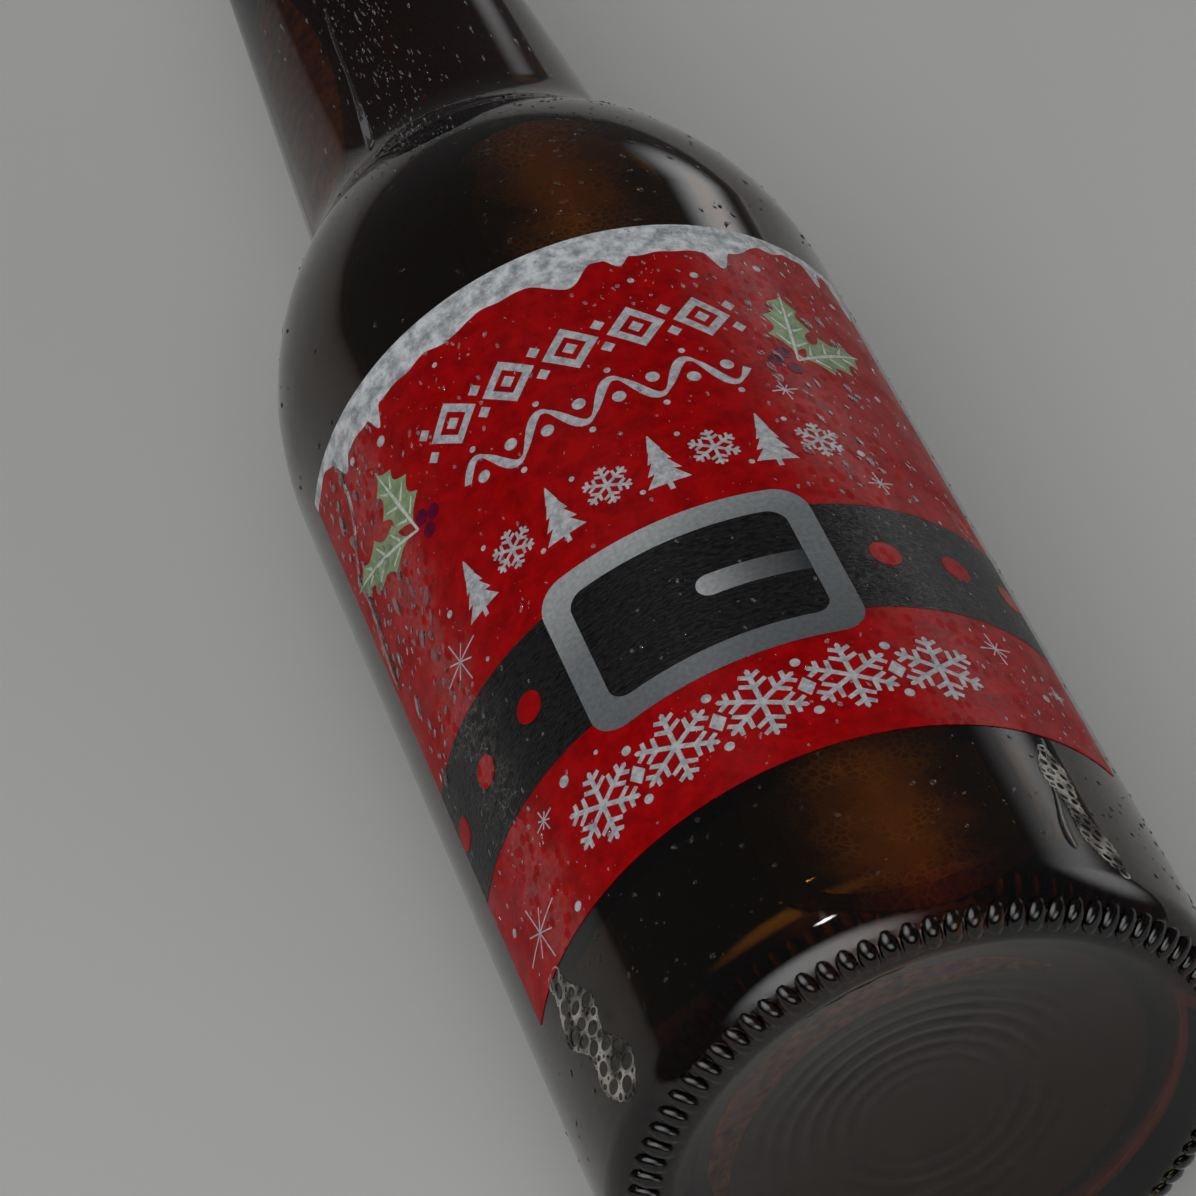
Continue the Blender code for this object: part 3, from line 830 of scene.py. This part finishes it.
def leaf_outline(stem, tip):
    """A holly leaf: three spines a side, with hollow curves between them."""
    along = Vector(tip) - Vector(stem)
    across = Vector((-along.y, along.x)).normalized() * LEAF_HALF_WIDTH
    spines = [(0.04, 0.05), (0.30, 0.95), (0.56, 1.0), (0.80, 0.62), (1.0, 0.0)]
    side = []
    for (t0, w0), (t1, w1) in zip(spines, spines[1:]):
        for step in range(6):
            share = step / 6
            hollow = 0.34 * math.sin(math.pi * share)
            side.append((t0 + (t1 - t0) * share, max(w0 + (w1 - w0) * share - hollow * min(1, w0 + w1), 0.05)))
    left = [Vector(stem) + along * t + across * w for t, w in side]
    right = [Vector(stem) + along * t - across * w for t, w in side]
    return [tuple(point) for point in left + [Vector(tip)] + right[::-1]]


def stroke(points, widths):
    """The outline of a line with a width at each of its points."""
    left, right = [], []
    for i, (point, width) in enumerate(zip(points, widths)):
        before, after = Vector(points[max(i - 1, 0)]), Vector(points[min(i + 1, len(points) - 1)])
        side = (after - before).normalized().orthogonal() * width / 2
        left.append(tuple(Vector(point) + side))
        right.append(tuple(Vector(point) - side))
    return left + right[::-1]


def leaf_veins(stem, tip):
    """A midrib that thins towards the tip, and pairs of side veins that stop short of it."""
    stem, along = Vector(stem), Vector(tip) - Vector(stem)
    across = Vector((-along.y, along.x)).normalized() * LEAF_HALF_WIDTH
    veins = [stroke([stem + along * t for t in (0.0, 0.5, 0.93)], (0.3, 0.42, 0.1))]
    for share, reach in ((0.2, 0.62), (0.42, 0.66), (0.64, 0.42)):
        for side in (-1, 1):
            start = stem + along * (share + 0.02) + across * side * 0.13
            end = stem + along * (share + 0.13) + across * side * reach
            veins.append(stroke([start, end], (0.34, 0.1)))
    return veins


# Leaf-green ink, greyed like an old print, and the unprinted grey-white of the veins.
green_ink = ink("holly_green_ink", "#9BB088", "#748F63", 1.4, 0.42)
vein_ink = ink("vein_white_ink", "#E2E6DE", "#BDC4B8", 0.8, 0.42)
berry_ink = ink("berry_crimson_ink", "#6E0636", "#4A0429", 0.9, 0.4)

leaves = [(stem, tip) for stem, tips, _ in SPRIGS for tip in tips]
for number, (stem, tip) in enumerate(leaves):
    film(f"holly_leaf_{number}", [leaf_outline(stem, tip)], INK_LIFT, green_ink)
film("holly_veins", [vein for stem, tip in leaves for vein in leaf_veins(stem, tip)], TOP_LIFT, vein_ink)
film("holly_berries", [disc(u, v, BERRY_RADIUS, 18) for _, _, berries in SPRIGS for u, v in berries],
     TOP_LIFT, berry_ink)


# Snowfall: small dots and eight-rayed sparkles scattered over the red, in the white of the ornaments.
DOTS = [(-24.4, 69.2, 0.45), (-19.6, 66.6, 0.6), (-10.3, 68.3, 0.3), (11.1, 66.8, 0.35), (17.7, 66.6, 0.45),
        (25.7, 68.9, 0.45), (35.8, 67.9, 0.4), (33.8, 51.5, 0.4), (-20.7, 41.5, 0.4), (25.8, 39.5, 0.45),
        (-18.7, 32.8, 0.25), (-16.6, 13.5, 0.6), (-12.3, 13.2, 0.25), (-31.7, 9.0, 0.45), (-21.1, 1.6, 0.5),
        (33.3, 6.8, 0.45)]
SPARKLES = [(-22.0, 36.0, 3.0), (-20.6, 12.4, 1.4), (-27.4, 4.6, 3.8), (20.8, 48.4, 1.5), (26.2, 35.1, 1.6),
            (29.3, 12.0, 2.1), (36.1, 8.6, 1.2)]
RAY_WIDTH = 0.26


def sparkle(u, v, reach):
    """Eight thin rays, every other one shorter."""
    outline = []
    for ray in range(8):
        turn = math.pi / 4 * ray + 0.2
        length = reach if ray % 2 == 0 else reach * 0.62
        for along, side in ((length, -1), (length, 1), (RAY_WIDTH * 0.65, 1.9)):
            angle = turn + (math.pi / 8 if side == 1.9 else side * RAY_WIDTH / 2 / length * 0.6)
            outline.append((u + along * math.cos(angle), v + along * math.sin(angle)))
    return outline


# White ink on red: cool and a little silvery, thinner than the snow's, so some red shows at its grain.
white_ink = ink("silvery_white_ink", "#CDCFD2", "#9C9DA2", 0.9, 0.4)

film("snowfall_dots", [disc(u, v, radius, 14) for u, v, radius in DOTS], INK_LIFT, white_ink)
film("snowfall_sparkles", [sparkle(u, v, reach) for u, v, reach in SPARKLES], INK_LIFT, white_ink)


# Ornaments: four rows of plain winter figures across the label's middle, printed in the same white.
# A bold row of diamonds, a garland, a fine row of firs and crystals, and a row of large crystals.
def diamond(u, v, half_width, half_height):
    """A rhombus."""
    return [(u + half_width, v), (u, v + half_height), (u - half_width, v), (u, v - half_height)]


def crystal(u, v, reach, width, arms=6):
    """A snow crystal: each arm carries two pairs of twigs that slant outwards."""
    arm = [(width, width / 2)]
    for start, twig in ((0.42, 0.30), (0.70, 0.22)):
        reach_out = twig * reach
        root = start * reach
        arm += [(root, width / 2), (root + reach_out * 0.5, width / 2 + reach_out * 0.87),
                (root + reach_out * 0.5 + width * 0.8, width / 2 + reach_out * 0.87 - width * 0.35),
                (root + width * 1.15, width / 2)]
    arm += [(reach - width / 2, width / 2), (reach, 0.0)]
    arm = [(x, -y) for x, y in arm] + [(x, y) for x, y in arm[-2::-1]]
    outline = []
    for i in range(arms):
        turn = 2 * math.pi * (i + 0.5) / arms
        outline += [(u + x * math.cos(turn) - y * math.sin(turn), v + x * math.sin(turn) + y * math.cos(turn))
                    for x, y in arm]
    return outline


def fir(u, low, height, half_width):
    """A fir of four tiers on a short trunk."""
    side = [(0.12, 0.0), (0.12, 0.12)]
    for tier in range(4):
        side += [(1.0 - 0.23 * tier, 0.12 + 0.2 * tier), (0.42 - 0.09 * tier, 0.34 + 0.2 * tier)]
    side[-1] = (0.03, 1.0)
    right = [(u + half_width * x, low + height * y) for x, y in side]
    left = [(u - half_width * x, low + height * y) for x, y in side[::-1]]
    return right + left


def row(first, last, count):
    """Even places along a row."""
    return [first + (last - first) * i / (count - 1) for i in range(count)]


bold = []
for u in row(-11.2, 16.2, 5):
    bold += [diamond(u, 60.0, 3.0, 3.1), diamond(u, 60.0, 1.75, 1.8), diamond(u, 60.0, 0.8, 0.85)]
for u in row(-14.6, 19.6, 6):
    bold += [diamond(u, 60.0 + side * 1.7, 0.75, 0.8) for side in (-1, 1)]
film("ornament_diamonds", bold, INK_LIFT, white_ink)

waves = [(-12.5 + 30.5 * i / 150) for i in range(151)]
ribbon = [(u, 51.8 + 2.1 * math.sin((u + 12.5) * 2 * math.pi / 7.625)) for u in waves]
ribbon_widths = [0.35 + 0.65 * abs(math.sin((u + 12.5) * 2 * math.pi / 7.625 + 0.9)) for u in waves]
garland = [stroke(ribbon, ribbon_widths)]
for i in range(4):
    crest = -12.5 + 7.625 * (i + 0.25)
    trough = -12.5 + 7.625 * (i + 0.75)
    garland += [disc(crest, 51.2, 0.7, 16), disc(trough, 52.4, 0.7, 16)]
    garland += [disc(crest + 0.1, 55.2, 0.35, 12), disc(trough + 0.1, 48.4, 0.35, 12)]
film("ornament_garland", garland, INK_LIFT, white_ink)

fine = []
for number, u in enumerate(row(-16.6, 21.6, 8)):
    fine.append(crystal(u, 40.8, 2.6, 0.34) if number % 2 else fir(u, 36.9, 7.8, 2.2))
fine += [disc(u, 37.9 if number % 2 else 43.8, 0.3, 12) for number, u in enumerate(row(-13.9, 18.9, 7))]
film("ornament_firs", fine, INK_LIFT, white_ink)

large = [crystal(u, 7.6, 4.4, 0.5) for u in row(-13.9, 20.9, 5)]
large += [disc(u, 7.6 + offset, 0.5, 14) for u in row(-9.55, 16.55, 4) for offset in (-3.2, 3.2)]
large += [diamond(u, 7.6, 0.9, 1.2) for u in row(-9.55, 16.55, 4)]
film("ornament_crystals", large, INK_LIFT, white_ink)


# Condensation: beads of water on the cold glass and the label, mostly a fraction of a millimetre wide.
# They crowd at the label's sides and on the neck, where they have run and stretched.
WATER_SEED = 20
CAP_CUT = 0.5
box_low, box_high = Vector(cad_box[0]), Vector(cad_box[1])


def bead_shape(segments, rings):
    """The cap of a sphere, spread to a foot of radius 1 and a height of 1: its points and its faces."""
    bpy.ops.object.select_all(action="DESELECT")
    bpy.ops.mesh.primitive_uv_sphere_add(segments=segments, ring_count=rings, radius=1)
    dome = bpy.context.object
    bpy.ops.object.mode_set(mode="EDIT")
    bpy.ops.mesh.select_all(action="SELECT")
    bpy.ops.mesh.bisect(plane_co=(0, 0, CAP_CUT), plane_no=(0, 0, 1), use_fill=True, clear_inner=True,
                        threshold=0.001)
    bpy.ops.object.mode_set(mode="OBJECT")
    points = np.array([vertex.co[:] for vertex in dome.data.vertices])
    points = (points - (0, 0, CAP_CUT)) / (math.sqrt(1 - CAP_CUT ** 2), math.sqrt(1 - CAP_CUT ** 2), 1 - CAP_CUT)
    faces = [list(face.vertices) for face in dome.data.polygons]
    bpy.data.objects.remove(dome)
    return points, faces


def scatter(draw, count, turns, heights, sizes, crowd):
    """Places for beads, none on another: a list of turn, height and radius, denser where crowd says."""
    kept = []
    cells = {}
    cell_size = 2 * sizes[1]
    for _ in range(count * 6):
        if len(kept) == count:
            break
        turn, height = draw.uniform(*turns), draw.uniform(*heights)
        size = sizes[0] + (sizes[1] - sizes[0]) * draw.random() ** 3.2
        if draw.random() > crowd(turn, height):
            continue
        around = turn * BODY_RADIUS / MM
        up = height / MM
        cell = (int(around // cell_size), int(up // cell_size))
        near = [spot for i in (-1, 0, 1) for j in (-1, 0, 1) for spot in cells.get((cell[0] + i, cell[1] + j), [])]
        if all(math.hypot(around - a, up - b) > (size + other) * 1.05 for a, b, other in near):
            cells.setdefault(cell, []).append((around, up, size))
            kept.append((turn, height, size * MM))
    return np.array(kept)


def beads(name, draw, spots, lift, shape, material, stretch=(0.85, 1.3), tall=(0.16, 0.3), lean=math.pi):
    """Join one dome a spot into a mesh; each is stretched, leant and bulged in its own way."""
    points, faces = shape
    count = len(spots)
    turn, height, size = spots.T
    long = draw.uniform(*stretch, count)
    lean = draw.uniform(-lean, lean, count)
    rise = draw.uniform(*tall, count)
    bulge = draw.uniform(0, 0.12, (2, count))
    phase = draw.uniform(0, 2 * math.pi, (2, count))
    angle = np.arctan2(points[:, 1], points[:, 0])[None, :]
    wobble = 1 + bulge[0][:, None] * np.sin(2 * angle + phase[0][:, None])
    wobble += bulge[1][:, None] * np.sin(3 * angle + phase[1][:, None])
    x = points[None, :, 0] * wobble * size[:, None] / np.sqrt(long)[:, None]
    y = points[None, :, 1] * wobble * size[:, None] * np.sqrt(long)[:, None]
    across = x * np.cos(lean)[:, None] - y * np.sin(lean)[:, None]
    along = x * np.sin(lean)[:, None] + y * np.cos(lean)[:, None]
    base = body_radius_at(height)
    slope = (body_radius_at(height + 0.2 * MM) - body_radius_at(height - 0.2 * MM)) / (0.4 * MM)
    level = height[:, None] + along / np.sqrt(1 + slope ** 2)[:, None]
    radius = base[:, None] + along * (slope / np.sqrt(1 + slope ** 2))[:, None]
    out = lift * MM - 0.012 * MM + points[None, :, 2] * (rise * size)[:, None]
    radius = radius + out / np.sqrt(1 + slope ** 2)[:, None]
    level = level - out * (slope / np.sqrt(1 + slope ** 2))[:, None]
    turned_by = turn[:, None] + across / base[:, None]
    radius = radius / np.cos(across / base[:, None]) if lift == 0 else radius
    place = on_bottle(turned_by.ravel(), level.ravel(), radius.ravel()).reshape(count, len(points), 3)
    inside = (place > np.array(box_low)).all(axis=(1, 2)) & (place < np.array(box_high)).all(axis=(1, 2))
    inside &= place[:, :, 2].min(axis=1) > 0.3 * MM
    place = place[inside]
    all_faces = [[corner + i * len(points) for corner in face] for i in range(len(place)) for face in faces]
    mesh = bpy.data.meshes.new(name)
    mesh.from_pydata(place.reshape(-1, 3), [], all_faces)
    piece = bpy.data.objects.new(name, mesh)
    bpy.context.collection.objects.link(piece)
    smooth(piece, 50)
    mesh.materials.append(material)
    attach(piece, "root")
    return piece


# Water: smooth and clear in the drops and runnels, and a little cloudy in the fine beads, which show as pale
# points on dark glass: their white is partly froth and partly a painted glint.
water, tree, shader = new_material("condensed_water")
connect(tree, shader, {"Base Color": linear("#FFFFFF"), "Roughness": 0.0, "IOR": 1.333, "Transmission Weight": 0.985})
cloudy_glint_water, tree, shader = new_material("cloudy_glint_water")
connect(tree, shader, {"Base Color": linear("#FFFFFF"), "Roughness": 0.0, "IOR": 1.333, "Transmission Weight": 0.9})

fine_bead = bead_shape(8, 4)
round_bead = bead_shape(14, 8)
draw = np.random.default_rng(WATER_SEED)
LABEL_TOP = LABEL_BOTTOM + LABEL_HEIGHT


def turn_at(u):
    """The turn from straight up of a place u millimetres round the body."""
    return FACING_TURN + u * MM / BODY_RADIUS


def bands(turn, height):
    """Beads crowd in the two wet bands down the label's sides and under its snow."""
    u = (turn - FACING_TURN) * BODY_RADIUS / MM
    side = 0.6 * math.exp(-((u + 28.5) / 5.0) ** 2) + 0.5 * math.exp(-((u - 31.0) / 6.0) ** 2)
    top = 0.35 * math.exp(-((height / MM - LABEL_TOP + 6.0) / 9.0) ** 2)
    return 0.16 + 0.8 * side + top


label_turns = (turn_at(LABEL_LEFT + 0.5), turn_at(LABEL_RIGHT - 0.5))
label_heights = ((LABEL_BOTTOM + 0.5) * MM, (LABEL_TOP - 0.5) * MM)
label_mist = scatter(draw, 1400, label_turns, label_heights, (0.06, 0.34), bands)
beads("label_beads", draw, label_mist, TOP_LIFT, fine_bead, cloudy_glint_water, stretch=(1.0, 2.8), tall=(0.12, 0.22),
      lean=math.radians(30))

low_glass = scatter(draw, 400, (-2.6, 2.6), (7.0 * MM, (LABEL_BOTTOM - 0.4) * MM), (0.08, 0.4),
                    lambda turn, height: 0.3 + 0.7 * math.exp(-(abs(turn) - 0.9) ** 2 * 4))
beads("low_glass_beads", draw, low_glass, 0, fine_bead, water, tall=(0.3, 0.5))

high_glass = scatter(draw, 700, (-2.6, 2.6), ((LABEL_TOP + 0.4) * MM, 138.0 * MM), (0.08, 0.42),
                     lambda turn, height: 0.15 + 0.85 * math.exp(-(turn / 0.4) ** 2))
beads("shoulder_beads", draw, high_glass, 0, fine_bead, water, stretch=(1.0, 2.2), tall=(0.3, 0.5))

neck_glass = scatter(draw, 650, (-1.2, 0.6), (122.0 * MM, 208.0 * MM), (0.13, 0.34),
                     lambda turn, height: 0.06 + 0.94 * math.exp(-((turn + 0.46) / 0.2) ** 2))
beads("neck_beads", draw, neck_glass, 0, fine_bead, cloudy_glint_water, stretch=(3.0, 6.0), tall=(0.6, 0.9),
      lean=math.radians(10))

back_glass = scatter(draw, 500, (turn_at(LABEL_RIGHT + 1), 2.7), label_heights, (0.1, 0.45),
                     lambda turn, height: 0.5)
beads("back_beads", draw, back_glass, 0, fine_bead, water)

large_drops = scatter(draw, 100, (turn_at(-33.5), turn_at(-22.5)), ((LABEL_BOTTOM + 30) * MM, (LABEL_TOP - 3) * MM),
                      (0.35, 1.0), lambda turn, height: 1.0)
beads("label_drops_left", draw, large_drops, TOP_LIFT, round_bead, water, stretch=(0.9, 2.4), tall=(0.12, 0.2),
      lean=math.radians(35))
right_drops = scatter(draw, 60, (turn_at(19.0), turn_at(33.0)), ((LABEL_BOTTOM + 34) * MM, (LABEL_TOP - 12) * MM),
                      (0.3, 0.9), lambda turn, height: 1.0)
beads("label_drops_right", draw, right_drops, TOP_LIFT, round_bead, water, stretch=(0.8, 1.8), tall=(0.1, 0.17),
      lean=math.radians(35))


# Runnels: beads that joined and ran, each a flattened thread of water with a heavier lower end.
# They lie on the label's left edge, along the neck and down the bare glass.
RUNNELS = [("label_runnel", TOP_LIFT, 1.3, [(-27.3, 72.9), (-26.9, 68.4), (-28.1, 63.9), (-31.0, 61.3), (-32.2, 58.6),
                                            (-31.3, 55.6), (-32.6, 50.8), (-33.6, 45.0)]),
           ("neck_runnel", 0.0, 2.0, [(-8.6, 142.5), (-9.7, 136.0), (-9.8, 129.0), (-10.6, 123.0), (-11.2, 114.8)]),
           ("glass_runnel", 0.0, 1.3, [(28.8, -0.4), (28.0, -3.5), (26.8, -6.5), (26.2, -9.5), (25.2, -12.6), (25.0, -15.8)])]
RUNNEL_FLATNESS = 0.3


def runnel(name, lift, width, route):
    """A round thread through the route, smoothed, flattened, cut along its underside and rolled."""
    curve = bpy.data.curves.new(name, "CURVE")
    curve.dimensions = "3D"
    curve.bevel_depth = width / 2
    curve.bevel_resolution = 3
    curve.resolution_u = 10
    curve.use_fill_caps = True
    spline = curve.splines.new("NURBS")
    spline.points.add(len(route) - 1)
    spline.order_u = 4
    spline.use_endpoint_u = True
    for i, (point, (u, v)) in enumerate(zip(spline.points, route)):
        point.co = (u, v, 0, 1)
        share = i / (len(route) - 1)
        point.radius = 0.25 + 0.75 * share + 0.12 * math.sin(9 * share) - 0.9 * max(0, share - 0.9) / 0.1
    piece = bpy.data.objects.new(name, curve)
    bpy.context.collection.objects.link(piece)
    select_only(piece)
    bpy.ops.object.convert(target="MESH")
    piece = bpy.context.object
    bpy.ops.object.mode_set(mode="EDIT")
    bpy.ops.mesh.select_all(action="SELECT")
    bpy.ops.mesh.remove_doubles(threshold=0.001)
    bpy.ops.transform.resize(value=(1, 1, RUNNEL_FLATNESS), center_override=(0, 0, 0))
    bpy.ops.mesh.bisect(plane_co=(0, 0, -0.012), plane_no=(0, 0, 1), use_fill=True, clear_inner=True,
                        threshold=0.0005)
    bpy.ops.mesh.normals_make_consistent(inside=False)
    bpy.ops.object.mode_set(mode="OBJECT")
    roll(piece, lift)
    smooth(piece, 50)
    piece.data.materials.append(water)
    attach(piece, "root")


for name, lift, width, route in RUNNELS:
    runnel(name, lift, width, softened(route, 2))


# Lace: froth that has drained and dried on the bare glass below the label, to a net of round holes of
# every size with walls a tenth of a millimetre thick.
LACE_THICKNESS = 0.1
SMALLEST_HOLE = 0.08
LACES = [("lace_base_left", [(-28.6, 0.6), (-27.6, -7.0), (-25.6, -13.0), (-24.8, -18.6)], 3.4, 0.9, 0.07, 3),
         ("lace_base_right", [(28.0, -1.5), (27.6, -8.0), (28.2, -13.0), (29.8, -18.5)], 1.8, 0.5, 0.09, 5)]

# Dried froth: a skin of protein, in places pale and in places so thin that the dark glass shows through it.
dried_froth, tree, shader = new_material("dried_froth")
where = add_node(tree, "ShaderNodeTexCoord", {}).outputs["Object"]
drained = add_node(tree, "ShaderNodeTexNoise", {"Vector": where, "Scale": 1 / 0.0022, "Detail": 3.0})
thin = add_node(tree, "ShaderNodeMapRange", {"Value": drained.outputs[0], "From Min": 0.38, "From Max": 0.62})
tone = add_node(tree, "ShaderNodeMix", {0: thin.outputs[0], 6: linear("#CFCAC2"), 7: linear("#4A4641")},
                data_type="RGBA")
clear = add_node(tree, "ShaderNodeMapRange", {"Value": thin.outputs[0], "To Min": 0.3, "To Max": 0.85})
connect(tree, shader, {"Base Color": tone.outputs[2], "Roughness": 0.35, "IOR": 1.34,
                       "Transmission Weight": clear.outputs[0]})


def lace(name, route, half_width, biggest, wall, seed):
    """A strip along a route: its holes are packed from the largest down, and it ends round the outer ones."""
    draw = np.random.default_rng(seed)
    route = np.array(softened(route, 3))
    steps = np.linalg.norm(np.diff(route, axis=0), axis=1)
    travelled = np.concatenate([[0], np.cumsum(steps)])
    length = travelled[-1]
    holes = []
    for radius in np.geomspace(biggest, SMALLEST_HOLE, 18):
        for _ in range(int(length * half_width * 5.0 / radius)):
            along = draw.uniform(radius, length - radius)
            room = half_width * (0.75 + 0.25 * math.sin(seed + 0.7 * along)) * math.sin(math.pi * along / length) ** 0.25
            place = (along, draw.uniform(-1, 1) * max(room - radius, 0.02))
            if all(math.dist(place, other) > radius + other_radius + wall for *other, other_radius in holes):
                holes.append((*place, radius))

    def edge(side):
        """How far the outermost walls reach to one side of the route, step by step."""
        points = []
        for along in np.arange(0.1, length, 0.12):
            reach = wall
            for hole_along, aside, radius in holes:
                overlap = (radius + wall) ** 2 - (hole_along - along) ** 2
                if overlap > 0:
                    reach = max(reach, aside * side + math.sqrt(overlap))
            points.append((along, side * reach))
        return points

    outlines = [edge(1) + edge(-1)[::-1]]
    for along, aside, radius in holes:
        squash, lean = draw.uniform(0.7, 1.0), draw.uniform(0, math.pi)
        points = disc(0, 0, radius, max(8, int(10 + 8 * radius)))
        outlines.append([(along + x * math.cos(lean) - y * squash * math.sin(lean),
                          aside + x * math.sin(lean) + y * squash * math.cos(lean)) for x, y in points])
    laid = [[(np.interp(along, travelled, route[:, 0]) + aside, np.interp(along, travelled, route[:, 1]))
             for along, aside in outline] for outline in outlines]
    film(name, laid, 0.0, dried_froth, LACE_THICKNESS)


for settings in LACES:
    lace(*settings)


# Crown cap: a disc of tinplate pressed over the finish, its skirt crimped into 21 flutes. It is plain,
# with the bright lacquer that keeps tin from rusting.
CAP_HEIGHT = 6.0 * MM
CAP_TOP_RADIUS = 10.2 * MM
CAP_SKIRT_RADIUS = 14.2 * MM
CAP_SHEET = 0.3 * MM
CAP_FLUTES = 21
FLUTE_DEPTH = 0.45 * MM
CAP_TOP = -BASE_Y * 2
CAP_RINGS = [(1.0, 0.08, 0.0), (1.6, 0.45, 0.0), (2.2, 0.95, 0.05), (2.7, 1.5, 0.14), (3.2, 2.2, 0.26),
             (3.6, 3.0, 0.45), (3.8, 4.0, 0.68), (3.92, 5.0, 0.88), (4.0, 6.0, 1.0)]

bpy.ops.object.select_all(action="DESELECT")
bpy.ops.mesh.primitive_circle_add(vertices=CAP_FLUTES * 12, radius=CAP_TOP_RADIUS, fill_type="NGON",
                                  location=(AXIS_X, BASE_Y + CAP_TOP, AXIS_Z), rotation=(-math.pi / 2, 0, 0))
cap = bpy.context.object
cap.name = "tin_crown_cap"
bpy.ops.object.transform_apply()
bpy.ops.object.mode_set(mode="EDIT")
bpy.ops.mesh.select_all(action="SELECT")
bpy.ops.mesh.inset(thickness=2.0 * MM)
bpy.ops.mesh.inset(thickness=5.0 * MM)
bpy.ops.mesh.select_all(action="SELECT")
bpy.ops.mesh.region_to_loop()
radius_now, height_now = CAP_TOP_RADIUS, 0.0
for wider, drop, _ in CAP_RINGS:
    ring_radius = CAP_TOP_RADIUS + wider * MM
    bpy.ops.mesh.extrude_edges_move(TRANSFORM_OT_translate={"value": (0, height_now - drop * MM, 0)})
    share = ring_radius / radius_now
    bpy.ops.transform.resize(value=(share, 1, share), center_override=(AXIS_X, 0, AXIS_Z))
    radius_now, height_now = ring_radius, drop * MM
bpy.ops.object.mode_set(mode="OBJECT")
flute_share = np.array([(drop * MM, share) for _, drop, share in CAP_RINGS])
for vertex in cap.data.vertices:
    drop = BASE_Y + CAP_TOP - vertex.co.y
    outwards = Vector((vertex.co.x - AXIS_X, 0, vertex.co.z - AXIS_Z))
    if drop > 0.5 * MM:
        wave = FLUTE_DEPTH * np.interp(drop, flute_share[:, 0], flute_share[:, 1])
        turn = math.atan2(outwards.z, outwards.x)
        vertex.co += outwards.normalized() * wave * math.cos(CAP_FLUTES * turn)
select_only(cap)
sheet = cap.modifiers.new("sheet", "SOLIDIFY")
sheet.thickness = CAP_SHEET
sheet.offset = -1
bpy.ops.object.modifier_apply(modifier=sheet.name)
smooth(cap, 50)

# Lacquered tinplate: bright rolled metal with fine rubbed scratches under a clear coat.
tinplate, tree, shader = new_material("lacquered_tinplate")
where = add_node(tree, "ShaderNodeTexCoord", {}).outputs["Object"]
rolled = add_node(tree, "ShaderNodeMapping", {"Vector": where, "Scale": (1.0, 1.0, 0.06)})
scratches = add_node(tree, "ShaderNodeTexNoise", {"Vector": rolled.outputs[0], "Scale": 1 / 0.00025, "Detail": 3.0})
worn = add_node(tree, "ShaderNodeMapRange", {"Value": scratches.outputs[0], "To Min": 0.18, "To Max": 0.42})
connect(tree, shader, {"Base Color": linear("#B9BABC"), "Metallic": 1.0, "Roughness": worn.outputs[0],
                       "Coat Weight": 0.6, "Coat Roughness": 0.08})
cap.data.materials.append(tinplate)
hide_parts("crown_cap")
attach(cap, "root")
